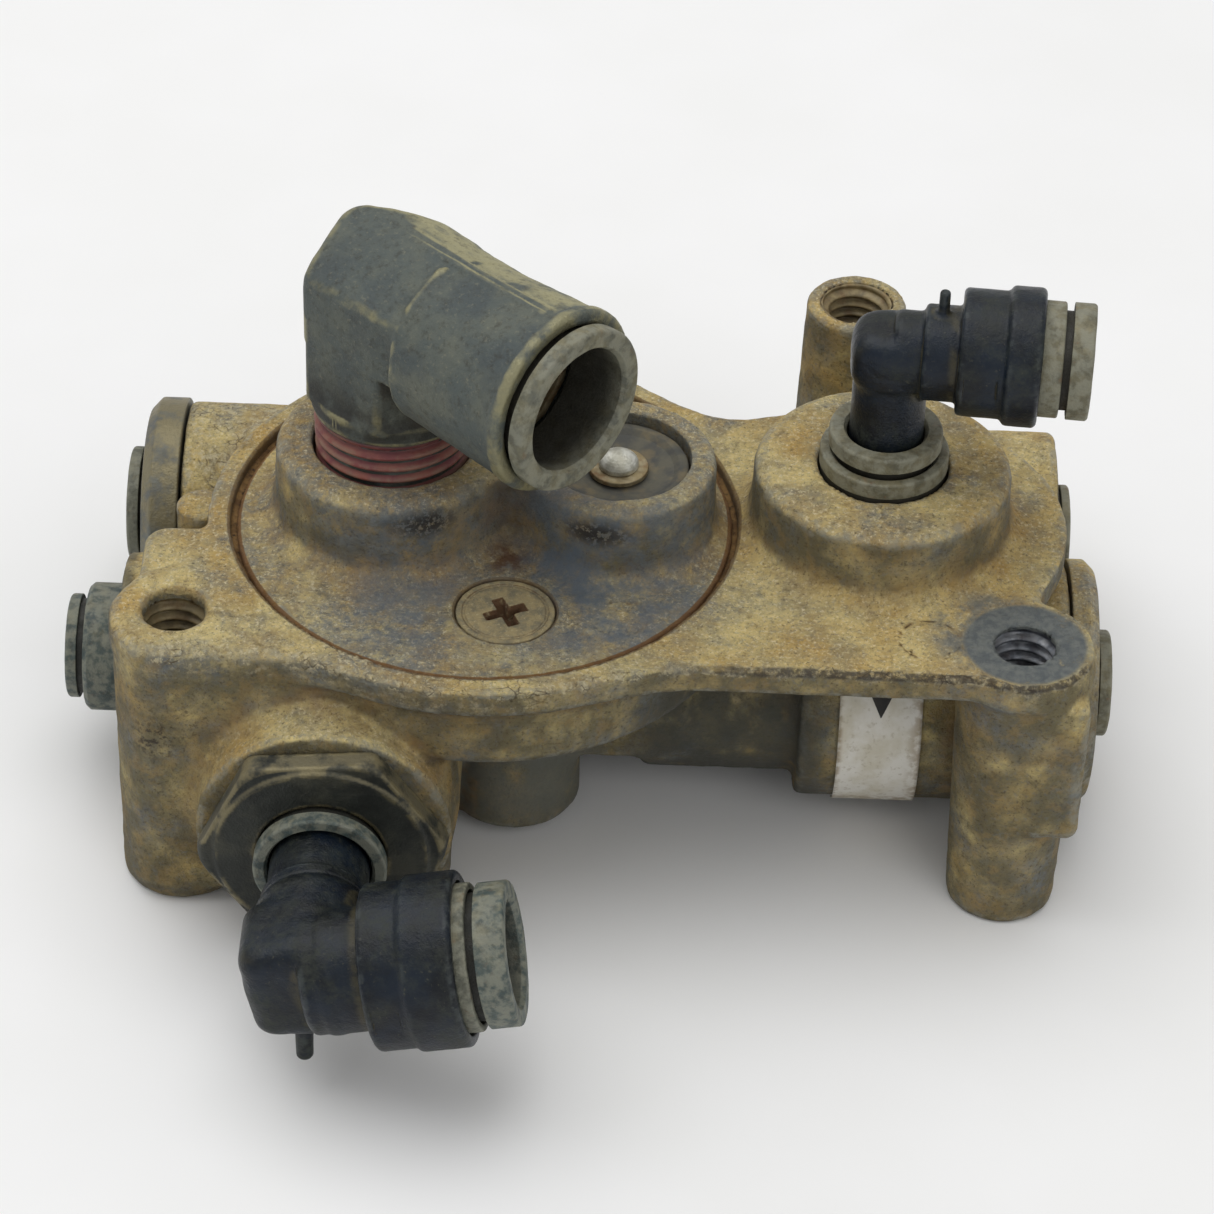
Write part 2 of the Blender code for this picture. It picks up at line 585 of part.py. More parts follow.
def modulating_piston():
    """Stepped piston with two seals, pushed left by its spring."""
    here = (0, VALVE_Y, BORE_Z)
    turned("stepped_piston", [(0, 58), (12.9, 58), (12.9, 55), (11.3, 55), (11.3, 52.4),
                              (12.9, 52.4), (12.9, 50), (9.2, 50), (9.2, 42), (7.7, 42),
                              (7.7, 39.4), (9.2, 39.4), (9.2, 35), (0, 35)],
           here, RIGHT, ANODISED, 24)
    seal("piston_seal_large", 11.6, 13.05, 53.7, here, RIGHT, 24)
    seal("piston_seal_small", 8.0, 9.45, 40.7, here, RIGHT, 20)
    coil("piston_spring", 11.4, 0.7, (58.3, VALVE_Y, BORE_Z), (70.5, VALVE_Y, BORE_Z), 4, RIGHT)


def shuttle():
    """Double-check shuttle, free to seal against either end of its bore."""
    here = (10, SHUTTLE_Y, BORE_Z)
    turned("check_shuttle", [(0, 9), (4.2, 9), (6.3, 7), (6.3, 4), (4.6, 3), (4.6, -3), (6.3, -4),
                             (6.3, -7), (4.2, -9), (0, -9)], here, RIGHT, BRASS, 20)


def inlet_check():
    """Check valve in the front passage, closed towards the port by its spring."""
    here = (FRONT_X, -12, FRONT_Z)
    turned("inlet_check", [(0, 2.6), (3.6, 2.6), (6.2, 0), (6.2, -2.4), (2.4, -2.4),
                           (2.4, -5.5), (0, -5.5)], here, FRONT, BRASS, 20)
    coil("inlet_spring", 4.6, 0.5, (FRONT_X, 3.6, FRONT_Z), (FRONT_X, -9.3, FRONT_Z), 4, FRONT)


def blank_label():
    """Thin curved label on the piston housing, without print."""
    label = ring("blank_label", 16.5, 16.7, 47.0, 58.0, (0, VALVE_Y, BORE_Z), RIGHT, PAPER, 60)
    keep = tool_box("label_window", (40, -20, -36.5), (64, -9, -8))
    boolean(label, keep, "INTERSECT")


cast_body()
cover()
exhaust_flap()
supply_elbow()
service_elbow()
delivery_elbow()
dome_port()
front_port()
left_port()
shuttle_ports()
end_port()
relay_valve()
modulating_piston()
shuttle()
inlet_check()
blank_label()
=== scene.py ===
"""Looks of a multiport compressed-air brake valve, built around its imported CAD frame.

The castings, the forged elbow and the moulded elbows are sculpted from signed distance fields, which give
them cast fillets and worn edges.  Turned pieces are lathed, threads are swept.  Lengths are in millimetres
from the cover's axis, at the height of the top plate, until a mesh is made.
"""

import json
import math

import bpy
import numpy as np
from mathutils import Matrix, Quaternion, Vector


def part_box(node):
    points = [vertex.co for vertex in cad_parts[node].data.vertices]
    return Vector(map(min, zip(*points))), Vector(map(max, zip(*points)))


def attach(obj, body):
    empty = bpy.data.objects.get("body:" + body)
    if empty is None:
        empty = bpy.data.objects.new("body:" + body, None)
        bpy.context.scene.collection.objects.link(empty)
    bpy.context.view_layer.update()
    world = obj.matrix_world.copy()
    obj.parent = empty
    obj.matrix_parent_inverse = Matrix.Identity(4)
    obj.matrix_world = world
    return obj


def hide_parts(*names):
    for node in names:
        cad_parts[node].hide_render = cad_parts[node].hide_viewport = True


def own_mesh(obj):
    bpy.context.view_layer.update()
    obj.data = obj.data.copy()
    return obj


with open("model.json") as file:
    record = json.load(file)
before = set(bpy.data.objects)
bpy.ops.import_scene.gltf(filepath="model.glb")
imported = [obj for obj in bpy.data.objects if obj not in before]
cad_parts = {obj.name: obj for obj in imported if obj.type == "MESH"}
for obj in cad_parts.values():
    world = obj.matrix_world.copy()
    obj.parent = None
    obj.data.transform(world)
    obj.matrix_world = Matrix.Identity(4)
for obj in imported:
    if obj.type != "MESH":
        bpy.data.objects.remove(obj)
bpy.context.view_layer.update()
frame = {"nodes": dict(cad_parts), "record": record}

# ------------------------------------------------------------------ datum and sizes

MM = 0.001
BASE = -42.0
PLATE_T = 4.0
BOSS_TOP = 10.0
DOME_TOP = 9.3
COVER_TOP = -0.8
COVER_R = 32.2
SEAT_R = 33.0
FLANGE_R = 36.0
SUPPLY = (-12.0, 3.0)
GUIDE_BOSS = (4.5, -8.0)
HOLE_R = 3.85
UP = (0.0, 0.0, 1.0)
DOWN = (0.0, 0.0, -1.0)
LEFT = (-1.0, 0.0, 0.0)
RIGHT = (1.0, 0.0, 0.0)
FRONT = (0.0, -1.0, 0.0)


def middle(node):
    """Centre of a CAD node's box, in the frame's millimetres."""
    lo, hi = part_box(node)
    return np.array((lo + hi) / 2) / MM


DATUM = middle("cover_plate")
DATUM[2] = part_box("valve_body")[0].z / MM - BASE


def at(node):
    """Centre of a CAD node's box, in working millimetres."""
    return middle(node) - DATUM


def end(node, axis, side):
    """Where a CAD node's box ends along an axis; side 0 is the low end and 1 the high end."""
    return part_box(node)[side][axis] / MM - DATUM[axis]


EXHAUST = tuple(at("exhaust_rivet")[:2])
DOME = tuple(at("dome_sleeve")[:2])
SCREWS = {name: tuple(at(name)[:2]) for name in ("cover_screw_front", "cover_screw_back")}
VALVE_Y = at("end_cap")[1]
BORE_Z = at("end_cap")[2]
SHUTTLE_Y = at("shuttle_adapter")[1]
FRONT_X = at("front_collet")[0]
FRONT_Z = at("front_collet")[2]


def posts():
    """Plan position of each threaded post, from the record's foot mounts."""
    found = {}
    for mount in frame["record"]["mounts"]:
        if mount["name"].startswith("foot_"):
            spot = np.array(mount["pos_m"]) / MM - DATUM
            found[mount["name"][5:]] = (spot[0], spot[1])
    return found


POSTS = posts()

# Port directions, the middles of the elbows' knees, and the outer faces of the straight ports.
YAW = math.radians(-40.5)
OUT = np.array((math.cos(YAW), math.sin(YAW), 0.0))
ACROSS = np.array((-math.sin(YAW), math.cos(YAW), 0.0))
KNEE = np.array((*SUPPLY, 30.6))
REACH = 29.0
SOCKET_R = 9.79
TUBE_S, TUBE_M, TUBE_L = 4.765, 6.35, 7.94  # radii of 3/8, 1/2 and 5/8 inch tube
BORE_S, BORE_M = 6.615, 8.2  # bores of the sleeves for the two smaller ones
SWING = math.radians(-5)
SERVICE_OUT = (math.cos(SWING), math.sin(SWING), 0.0)
SERVICE_KNEE = np.array((*DOME, 27.9))
TILT = math.radians(11)
DELIVERY_OUT = (math.cos(TILT), 0.0, math.sin(TILT))
DELIVERY_KNEE = np.array((FRONT_X, -62.0, FRONT_Z))
FRONT_FACE = (FRONT_X, -40.5, FRONT_Z)
LEFT_FACE = (-52.7, VALVE_Y, BORE_Z)
END_FACE = (80.8, VALVE_Y, BORE_Z)
SHUTTLE_LEFT_FACE = (-47.8, SHUTTLE_Y, BORE_Z)
SHUTTLE_RIGHT_FACE = (77.4, SHUTTLE_Y, BORE_Z)

# ------------------------------------------------------------------ signed distances


def rounded(across, along, edge):
    """Distance of a shape from its section distance and its end distance, with rounded edges."""
    across = across + edge
    along = along + edge
    outside = np.hypot(np.maximum(across, 0), np.maximum(along, 0))
    return np.minimum(np.maximum(across, along), 0) + outside - edge


def rod(p, a, b, r, edge=0.5, r_end=None):
    """Cylinder, or cone, from a to b."""
    a = np.array(a, np.float32)
    axis = np.array(b, np.float32) - a
    size = float(np.linalg.norm(axis))
    axis /= size
    q = p - a
    along = q @ axis
    radial = np.sqrt(np.maximum((q * q).sum(1) - along * along, 0))
    if r_end is not None:
        r = r + (r_end - r) * np.clip(along / size, 0, 1)
    return rounded(radial - r, np.abs(along - size / 2) - size / 2, edge)


def block(p, lo, hi, edge=1.0):
    """Box between two corners."""
    lo = np.array(lo, np.float32)
    hi = np.array(hi, np.float32)
    q = np.abs(p - (lo + hi) / 2) - (hi - lo) / 2 + edge
    return np.minimum(q.max(1), 0) + np.sqrt((np.maximum(q, 0) ** 2).sum(1)) - edge


def frame_axes(axis):
    """Two directions square to an axis."""
    axis = np.array(axis, float)
    side = np.cross((0, 0, 1), axis)
    if np.linalg.norm(side) < 0.1:
        side = np.array((1.0, 0, 0))
    side /= np.linalg.norm(side)
    return side, np.cross(axis, side)


def prism(p, sides, flats, a, b, turn=0.0, edge=0.6, corner=1.0):
    """Regular prism from a to b, its corners turned down by a circle."""
    a = np.array(a, float)
    axis = np.array(b, float) - a
    size = np.linalg.norm(axis)
    axis /= size
    u, v = frame_axes(axis)
    q = (p - a).astype(np.float32)
    x = q @ u.astype(np.float32)
    y = q @ v.astype(np.float32)
    along = q @ axis.astype(np.float32)
    sector = math.tau / sides
    radial = np.hypot(x, y)
    fold = np.mod(np.arctan2(y, x) - math.radians(turn) + sector / 2, sector) - sector / 2
    section = meet(corner, radial * np.cos(fold) - flats / 2,
                   radial - flats / 2 / math.cos(sector / 2) + corner * 0.4)
    return rounded(section, np.abs(along - size / 2) - size / 2, edge)


def blend(k, *fields):
    """Union with a fillet of about k."""
    total = fields[0]
    for field in fields[1:]:
        overlap = np.maximum(k - np.abs(total - field), 0) / k
        total = np.minimum(total, field) - overlap * overlap * k / 4
    return total


def meet(k, *fields):
    """Intersection with its edge rounded by about k."""
    return -blend(k, *[-field for field in fields])


def carve(k, solid, *tools):
    """Solid less its tools, with the mouths rounded by about k."""
    return meet(k, solid, *[-tool for tool in tools])


def slab(outline, z, lo, hi, edge=0.8):
    """Plan outline raised between two heights."""
    return rounded(outline, np.abs(z - (lo + hi) / 2) - (hi - lo) / 2, edge)


def disc2(p, centre, r):
    """Plan distance to a disc."""
    return np.hypot(p[:, 0] - centre[0], p[:, 1] - centre[1]) - r


def rect2(p, lo, hi, edge=1.0):
    """Plan distance to a rectangle with round corners."""
    qx = np.abs(p[:, 0] - (lo[0] + hi[0]) / 2) - (hi[0] - lo[0]) / 2 + edge
    qy = np.abs(p[:, 1] - (lo[1] + hi[1]) / 2) - (hi[1] - lo[1]) / 2 + edge
    return np.minimum(np.maximum(qx, qy), 0) + np.hypot(np.maximum(qx, 0), np.maximum(qy, 0)) - edge


LATTICE = np.random.default_rng(11).random((32, 32, 32)).astype(np.float32) * 2 - 1


def lumps(p, size, shift=0.0):
    """Smooth noise from -1 to 1 whose features are about that many millimetres."""
    q = p / size + shift
    cell = np.floor(q).astype(np.int32)
    f = (q - cell).astype(np.float32)
    f = f * f * (3 - 2 * f)
    low = cell & 31
    high = (cell + 1) & 31
    total = 0
    for corner in range(8):
        pick = [(high if corner >> k & 1 else low)[:, k] for k in range(3)]
        share = 1
        for k in range(3):
            share = share * (f[:, k] if corner >> k & 1 else 1 - f[:, k])
        total = total + share * LATTICE[pick[0], pick[1], pick[2]]
    return total


# ------------------------------------------------------------------ mesh making

CORNERS = np.array([(x, y, z) for x in (0, 1) for y in (0, 1) for z in (0, 1)])
EDGES = [(a, b) for a in range(8) for b in range(a + 1, 8)
         if np.abs(CORNERS[a] - CORNERS[b]).sum() == 1]


def to_mesh(name, points, quads, normals=None, marks=None):
    """Mesh object from working millimetres, with its normals and named vertex values."""
    me = bpy.data.meshes.new(name)
    co = ((points + DATUM) * MM).astype(np.float32)
    me.vertices.add(len(co))
    me.vertices.foreach_set("co", co.ravel())
    width = quads.shape[1]
    me.loops.add(quads.size)
    me.loops.foreach_set("vertex_index", quads.astype(np.int32).ravel())
    me.polygons.add(len(quads))
    me.polygons.foreach_set("loop_start", np.arange(0, quads.size, width, dtype=np.int32))
    me.update(calc_edges=True)
    me.polygons.foreach_set("use_smooth", np.ones(len(quads), bool))
    for label, values in (marks or {}).items():
        layer = me.attributes.new(label, "FLOAT", "POINT")
        layer.data.foreach_set("value", values.astype(np.float32))
    if normals is not None:
        me.normals_split_custom_set_from_vertices(normals.tolist())
    obj = bpy.data.objects.new(name, me)
    bpy.context.scene.collection.objects.link(obj)
    return obj


BLOCK = 4  # grid points along a side of a block
CHUNK = 6000  # blocks worked out at a time


def sample_volume(field, lo, blocks, cell):
    """Field on a grid, worked out only in the small blocks that the surface can cross."""
    side = BLOCK
    index = np.argwhere(np.ones(blocks, bool))
    centre = (lo + (index * side + (side - 1) / 2) * cell).astype(np.float32)
    coarse = field(centre)
    reach = cell * side * 1.05
    volume = np.where(coarse > 0, reach, -reach).astype(np.float32)
    volume = np.broadcast_to(volume.reshape(blocks)[:, None, :, None, :, None],
                             (blocks[0], side, blocks[1], side, blocks[2], side)).copy()
    near = index[np.abs(coarse) < reach]
    inner = np.argwhere(np.ones((side,) * 3, bool))
    for start in range(0, len(near), CHUNK):
        part = near[start:start + CHUNK]
        points = lo + (part[:, None] * side + inner[None]) * cell
        values = field(points.reshape(-1, 3).astype(np.float32)).reshape(-1, side, side, side)
        volume[part[:, 0], :, part[:, 1], :, part[:, 2], :] = values
    return volume.reshape([n * side for n in blocks])


def surface_net(volume, lo, cell):
    """Quads along the zero level of a sampled field."""
    inside = volume < 0
    cut = [slice(None, -1), slice(1, None)]
    count = sum(inside[cut[x], cut[y], cut[z]].astype(np.int8) for x, y, z in CORNERS)
    mixed = (count > 0) & (count < 8)
    cells = np.argwhere(mixed)
    number = np.full(mixed.shape, -1, np.int64)
    number[mixed] = np.arange(len(cells))
    values = [volume[tuple((cells + c).T)] for c in CORNERS]
    total = np.zeros((len(cells), 3))
    hits = np.zeros(len(cells))
    for a, b in EDGES:
        crossing = (values[a] < 0) != (values[b] < 0)
        gap = np.where(crossing, values[a] - values[b], 1)
        share = np.where(crossing, values[a] / gap, 0)[:, None]
        total += (CORNERS[a] + share * (CORNERS[b] - CORNERS[a])) * crossing[:, None]
        hits += crossing
    points = lo + (cells + total / hits[:, None]) * cell
    quads = []
    for axis in range(3):
        low = np.take(inside, range(inside.shape[axis] - 1), axis)
        high = np.take(inside, range(1, inside.shape[axis]), axis)
        spots = np.argwhere(low != high)
        u, v = [k for k in range(3) if k != axis]
        spots = spots[(spots[:, u] > 0) & (spots[:, v] > 0)]
        spots = spots[(spots[:, u] < mixed.shape[u]) & (spots[:, v] < mixed.shape[v])]
        ring = []
        for du, dv in ((-1, -1), (0, -1), (0, 0), (-1, 0)):
            near = spots.copy()
            near[:, u] += du
            near[:, v] += dv
            ring.append(number[tuple(near.T)])
        quad = np.stack(ring, 1)
        solid_low = low[tuple(spots.T)]
        flip = solid_low if axis == 1 else ~solid_low
        quad[flip] = quad[flip][:, ::-1]
        quads.append(quad)
    return points, np.concatenate(quads)


def slope(field, p, step=0.06):
    """Value and unit gradient of a field."""
    p = p.astype(np.float32)
    here = field(p)
    out = np.zeros_like(p)
    for k in range(3):
        shift = np.zeros(3, np.float32)
        shift[k] = step
        out[:, k] = (field(p + shift) - field(p - shift)) / (2 * step)
    size = np.maximum(np.linalg.norm(out, axis=1), 0.3)
    return here / size, out / size[:, None]


def thinned(name, points, quads, keep):
    """Points and triangles of a net that is thinned to a share of its faces."""
    obj = to_mesh(name, points, quads)
    thin = obj.modifiers.new("thin", "DECIMATE")
    thin.ratio = keep
    obj.modifiers.new("faces", "TRIANGULATE")
    view = bpy.context.evaluated_depsgraph_get()
    shaped = bpy.data.meshes.new_from_object(obj.evaluated_get(view))
    bpy.data.objects.remove(obj)
    co = np.zeros(len(shaped.vertices) * 3, np.float32)
    shaped.vertices.foreach_get("co", co)
    faces = np.zeros(len(shaped.polygons) * 3, np.int32)
    shaped.loops.foreach_get("vertex_index", faces)
    bpy.data.meshes.remove(shaped)
    return co.reshape(-1, 3).astype(float) / MM - DATUM, faces.reshape(-1, 3)


HOLLOW_REACH = 2.2
EDGE_REACH = 1.2


def wear_marks(field, points, normal):
    """How hollow and how sharp the surface is round each point."""
    p = points.astype(np.float32)
    n = normal.astype(np.float32)
    side = np.cross(n, np.array((0.3, 0.5, 0.8), np.float32))
    side /= np.maximum(np.linalg.norm(side, axis=1), 1e-3)[:, None]
    other = np.cross(n, side)
    bulge = sum(field(p + way * EDGE_REACH) for way in (side, -side, other, -other)) / 4
    return {
        "hollow": np.clip(1.6 * (1 - field(p + n * HOLLOW_REACH) / HOLLOW_REACH), 0, 1),
        "edge": np.clip(bulge * 3.5, 0, 1),
    }


def sculpt(name, field, lo, hi, cell, keep, grit, grain):
    """Closed mesh of a field: sampled, netted, thinned to a share of its faces, then drawn onto
    the field again with a little surface grit."""
    lo = np.array(lo, float)
    blocks = tuple(int(n) for n in np.ceil((np.array(hi) - lo) / (cell * BLOCK)))
    points, quads = surface_net(sample_volume(field, lo, blocks, cell), lo, cell)
    gap, normal = slope(field, points)
    points = points - np.clip(gap, -cell, cell)[:, None] * normal
    points, faces = thinned(name, points, quads, keep)

    def gritty(p):
        return field(p) + grit * lumps(p, grain) + grit * 0.6 * lumps(p, grain * 0.45, 5.1)

    for _ in range(2):
        gap, normal = slope(gritty, points)
        points = points - np.clip(gap, -0.3, 0.3)[:, None] * normal
    return to_mesh(name, points, faces, normal, wear_marks(field, points, normal))


ARC_STEPS = 4


def soften(profile, edge):
    """Closed profile with its corners rounded: points, outward normals and a mark for each."""
    pts = [np.array(q[:2], float) for q in profile]
    radii = [q[2] if len(q) > 2 else edge for q in profile]
    count = len(pts)
    area = sum(pts[i][0] * pts[(i + 1) % count][1] - pts[(i + 1) % count][0] * pts[i][1]
               for i in range(count))
    turn = 1 if area > 0 else -1

    def outward(a, b):
        d = (b - a) / np.linalg.norm(b - a)
        return np.array((d[1], -d[0])) * turn

    out = []
    for i in range(count):
        before, here, after = pts[i - 1], pts[i], pts[(i + 1) % count]
        n1, n2 = outward(before, here), outward(here, after)
        on_axis = here[0] < 1e-6
        if on_axis:
            n = n2 if before[0] < 1e-6 else n1
            out.append((here, n, 0.0))
            continue
        reach = min(np.linalg.norm(here - before), np.linalg.norm(after - here)) * 0.45
        cos_half = math.sqrt(max((1 + n1 @ n2) / 2, 1e-4))
        tan_half = math.sqrt(max(1 - cos_half ** 2, 0)) / cos_half
        if tan_half < 0.02:
            out.append((here, (n1 + n2) / np.linalg.norm(n1 + n2), 0.0))
            continue
        radius = min(radii[i], reach / tan_half)
        bend = n1[0] * n2[1] - n1[1] * n2[0]
        sign = 1.0 if bend * turn > 0 else -1.0
        mid = (n1 + n2) / np.linalg.norm(n1 + n2)
        centre = here - sign * mid * radius / cos_half
        for k in range(ARC_STEPS + 1):
            share = k / ARC_STEPS
            n = n1 * (1 - share) + n2 * share
            n = n / np.linalg.norm(n)
            out.append((centre + sign * n * radius, n, sign))
    return out


def lathe(name, profile, origin, axis, steps=96, edge=0.25, dents=0.02):
    """Closed turned piece.  The profile is (radius, height along the axis) and goes once round."""
    rings = soften(profile, edge)
    top = max(h for (r, h), _, _ in rings)
    u, v = frame_axes(axis)
    axis = np.array(axis, float)
    origin = np.array(origin, float)
    angle = np.arange(steps) * math.tau / steps
    spoke = np.cos(angle)[:, None] * u + np.sin(angle)[:, None] * v
    points, normals, hollow, rim, rows = [], [], [], [], []
    total = 0
    for (r, h), (nr, nh), sign in rings:
        if r < 1e-6:
            points.append((origin + axis * h)[None])
            normals.append((axis * (1 if nh > 0 else -1))[None])
            rows.append([total] * steps)
            size = 1
        else:
            points.append(origin + axis * h + spoke * r)
            normals.append(spoke * nr + axis * nh)
            rows.append(list(range(total, total + steps)))
            size = steps
        inward = max(-nr, 0) * min(max((top - h) / 2.5, 0), 1)
        hollow += [max(-sign, inward)] * size
        rim += [max(sign, 0)] * size
        total += size
    points = np.concatenate(points)
    normals = np.concatenate(normals)
    if dents:
        wave = lumps(points.astype(np.float32), 2.2, 3.3) + lumps(points.astype(np.float32), 0.8, 9.7) * 0.5
        points = points + normals * (wave * dents)[:, None]
    faces = []
    for i, row in enumerate(rows):
        after = rows[(i + 1) % len(rows)]
        for k in range(steps):
            j = (k + 1) % steps
            if row[k] != row[j]:
                faces.append((row[k], row[j], after[k]))
            if after[k] != after[j]:
                faces.append((row[j], after[j], after[k]))
    faces = np.array(faces)
    a, b, c = (points[faces[:, k]] for k in range(3))
    volume = (np.cross(a - origin, b - origin) * (c - origin)).sum()
    if volume < 0:
        faces = faces[:, ::-1]
    marks = {"hollow": np.array(hollow), "edge": np.array(rim)}
    return to_mesh(name, points, faces, normals, marks)


def thread(name, crest, root, plain, pitch, start, finish, centre, taper=0.0, steps=64):
    """Threaded sleeve along +Z between two heights: crest and root radii, and the plain wall's radius."""
    rows_per_pitch = 10
    rows = int((finish - start) / pitch * rows_per_pitch) + 1
    z = np.linspace(start, finish, rows)[:, None]
    angle = (np.arange(steps) * math.tau / steps)[None]
    phase = np.mod(z / pitch - angle / math.tau, 1)
    tooth = np.clip(np.abs(phase * 2 - 1) * 1.35 - 0.15, 0, 1)
    fade = np.clip(np.minimum(z - start, finish - z) / (pitch * 0.7), 0, 1)
    radius = root + (crest - root) * tooth * fade - taper * (finish - z)
    shell = np.stack([centre[0] + radius * np.cos(angle), centre[1] + radius * np.sin(angle),
                      z + 0 * angle], -1).reshape(-1, 3)
    back = np.stack([centre[0] + plain * np.cos(angle) + 0 * z, centre[1] + plain * np.sin(angle) + 0 * z,
                     z + 0 * angle], -1)[[0, -1]].reshape(-1, 3)
    points = np.concatenate([shell, back])
    low, high = rows * steps, rows * steps + steps
    faces = []
    for k in range(steps):
        j = (k + 1) % steps
        for i in range(rows - 1):
            faces.append((i * steps + k, i * steps + j, (i + 1) * steps + j, (i + 1) * steps + k))
        faces.append((low + k, low + j, j, k))
        faces.append(((rows - 1) * steps + k, (rows - 1) * steps + j, high + j, high + k))
        faces.append((high + k, high + j, low + j, low + k))
    faces = np.array(faces)
    if plain > root:
        faces = faces[:, ::-1]
    depth = (tooth * fade + 0 * angle).reshape(-1)
    marks = {
        "hollow": np.concatenate([1 - depth, np.ones(2 * steps)]),
        "edge": np.concatenate([depth, np.zeros(2 * steps)]),
    }
    return to_mesh(name, points, faces, None, marks)

# ------------------------------------------------------------------ looks


def rgb(r, g, b):
    """Linear colour from the usual 0 to 255 values."""
    return tuple((v / 255 / 12.92 if v <= 10 else ((v / 255 + 0.055) / 1.055) ** 2.4)
                 for v in (r, g, b)) + (1.0,)


class Look:
    """A node material put together from masks between 0 and 1."""

    def __init__(self, name):
        self.mat = bpy.data.materials.new(name)
        self.mat.use_nodes = True
        self.nodes = self.mat.node_tree.nodes
        self.links = self.mat.node_tree.links
        self.shader = self.nodes["Principled BSDF"]
        self.place = self.nodes.new("ShaderNodeTexCoord").outputs["Object"]

    def node(self, kind, settings=None, **inputs):
        """New node; its inputs go by name, or by number as i0, i1 and so on."""
        made = self.nodes.new(kind)
        for key, value in (settings or {}).items():
            setattr(made, key, value)
        for key, value in inputs.items():
            key = int(key[1:]) if key[0] == "i" and key[1:].isdigit() else key
            self.feed(made.inputs[key], value)
        return made

    def feed(self, socket, value):
        """Links a socket's value, or sets a plain one."""
        if isinstance(value, bpy.types.NodeSocket):
            self.links.new(value, socket)
        else:
            socket.default_value = value

    def ramp(self, value, lo, hi):
        """0 at lo and 1 at hi, smooth between."""
        settings = {"interpolation_type": "SMOOTHSTEP"}
        flip = lo > hi
        made = self.node("ShaderNodeMapRange", settings, Value=value)
        made.inputs["From Min"].default_value = min(lo, hi)
        made.inputs["From Max"].default_value = max(lo, hi)
        made.inputs["To Min"].default_value = 1.0 if flip else 0.0
        made.inputs["To Max"].default_value = 0.0 if flip else 1.0
        return made.outputs[0]

    def noise(self, size, lo, hi, detail=3.0, rough=0.6, shift=0.0):
        """Mask of blotches about that many millimetres across."""
        scale = self.node("ShaderNodeMapping", Vector=self.place,
                          Location=(shift * 0.013, shift * 0.007, shift * 0.011))
        made = self.node("ShaderNodeTexNoise", Vector=scale.outputs[0], Scale=1 / (size * MM),
                         Detail=detail, Roughness=rough)
        return self.ramp(made.outputs[0], lo, hi)

    def cracks(self, size, lo, hi):
        """Mask of thin lines between cells."""
        moved = self.node("ShaderNodeTexNoise", Vector=self.place, Scale=0.6 / (size * MM), Detail=3.0)
        push = self.node("ShaderNodeVectorMath", {"operation": "MULTIPLY_ADD"}, i0=moved.outputs["Color"],
                         i1=(size * MM,) * 3, i2=self.place)
        made = self.node("ShaderNodeTexVoronoi", {"feature": "DISTANCE_TO_EDGE"},
                         Vector=push.outputs[0], Scale=1 / (size * MM))
        return self.ramp(made.outputs["Distance"], hi, lo)

    def mark(self, label, lo=0.0, hi=1.0):
        """Mask from a vertex value."""
        made = self.node("ShaderNodeAttribute", {"attribute_name": label})
        return self.ramp(made.outputs["Fac"], lo, hi)

    def facing(self, direction, lo, hi):
        """1 where the surface looks along a direction."""
        normal = self.node("ShaderNodeNewGeometry").outputs["Normal"]
        made = self.node("ShaderNodeVectorMath", {"operation": "DOT_PRODUCT"}, i0=normal, i1=direction)
        return self.ramp(made.outputs["Value"], lo, hi)

    def near(self, point, inner, outer, flat=(1, 1, 1)):
        """1 within the inner radius of a working point, 0 beyond the outer one."""
        spot = tuple(float(v) * MM for v in np.array(point) + DATUM)
        away = self.node("ShaderNodeVectorMath", {"operation": "SUBTRACT"}, i0=self.place, i1=spot)
        away = self.node("ShaderNodeVectorMath", {"operation": "MULTIPLY"}, i0=away.outputs[0], i1=flat)
        made = self.node("ShaderNodeVectorMath", {"operation": "LENGTH"}, i0=away.outputs[0])
        return self.ramp(made.outputs["Value"], outer * MM, inner * MM)

    def belt(self, centre, r, half):
        """1 on an upright cylinder of radius r about a working point."""
        inner = self.near((*centre, 0.0), r - half, r - half + 0.15, (1, 1, 0))
        outer = self.near((*centre, 0.0), r + half, r + half + 0.15, (1, 1, 0))
        return self.maths("SUBTRACT", outer, inner)

    def level(self, axis, lo, hi):
        """0 at the working coordinate lo and 1 at hi."""
        split = self.node("ShaderNodeSeparateXYZ", Vector=self.place)
        return self.ramp(split.outputs[axis], (lo + DATUM[axis]) * MM, (hi + DATUM[axis]) * MM)

    def maths(self, operation, a, b):
        """One sum, held between 0 and 1."""
        made = self.node("ShaderNodeMath", {"operation": operation, "use_clamp": True}, i0=a, i1=b)
        return made.outputs[0]

    def both(self, *masks):
        """Where all the masks agree."""
        total = masks[0]
        for mask in masks[1:]:
            total = self.maths("MULTIPLY", total, mask)
        return total

    def either(self, *masks):
        """Where any of the masks is set."""
        total = masks[0]
        for mask in masks[1:]:
            total = self.maths("MAXIMUM", total, mask)
        return total

    def mix(self, a, b, share):
        """Colour between a and b."""
        made = self.node("ShaderNodeMix", {"data_type": "RGBA"})
        self.feed(made.inputs[0], share)
        self.feed(made.inputs[6], a)
        self.feed(made.inputs[7], b)
        return made.outputs[2]

    def coat(self, base, paint, *masks):
        """Paint, given as 0 to 255 values, over a base where all the masks agree."""
        return self.mix(base, rgb(*paint), self.both(*masks))

    def value(self, lo, hi, share):
        """Number between lo and hi."""
        made = self.node("ShaderNodeMapRange", Value=share)
        made.inputs["To Min"].default_value = lo
        made.inputs["To Max"].default_value = hi
        return made.outputs[0]

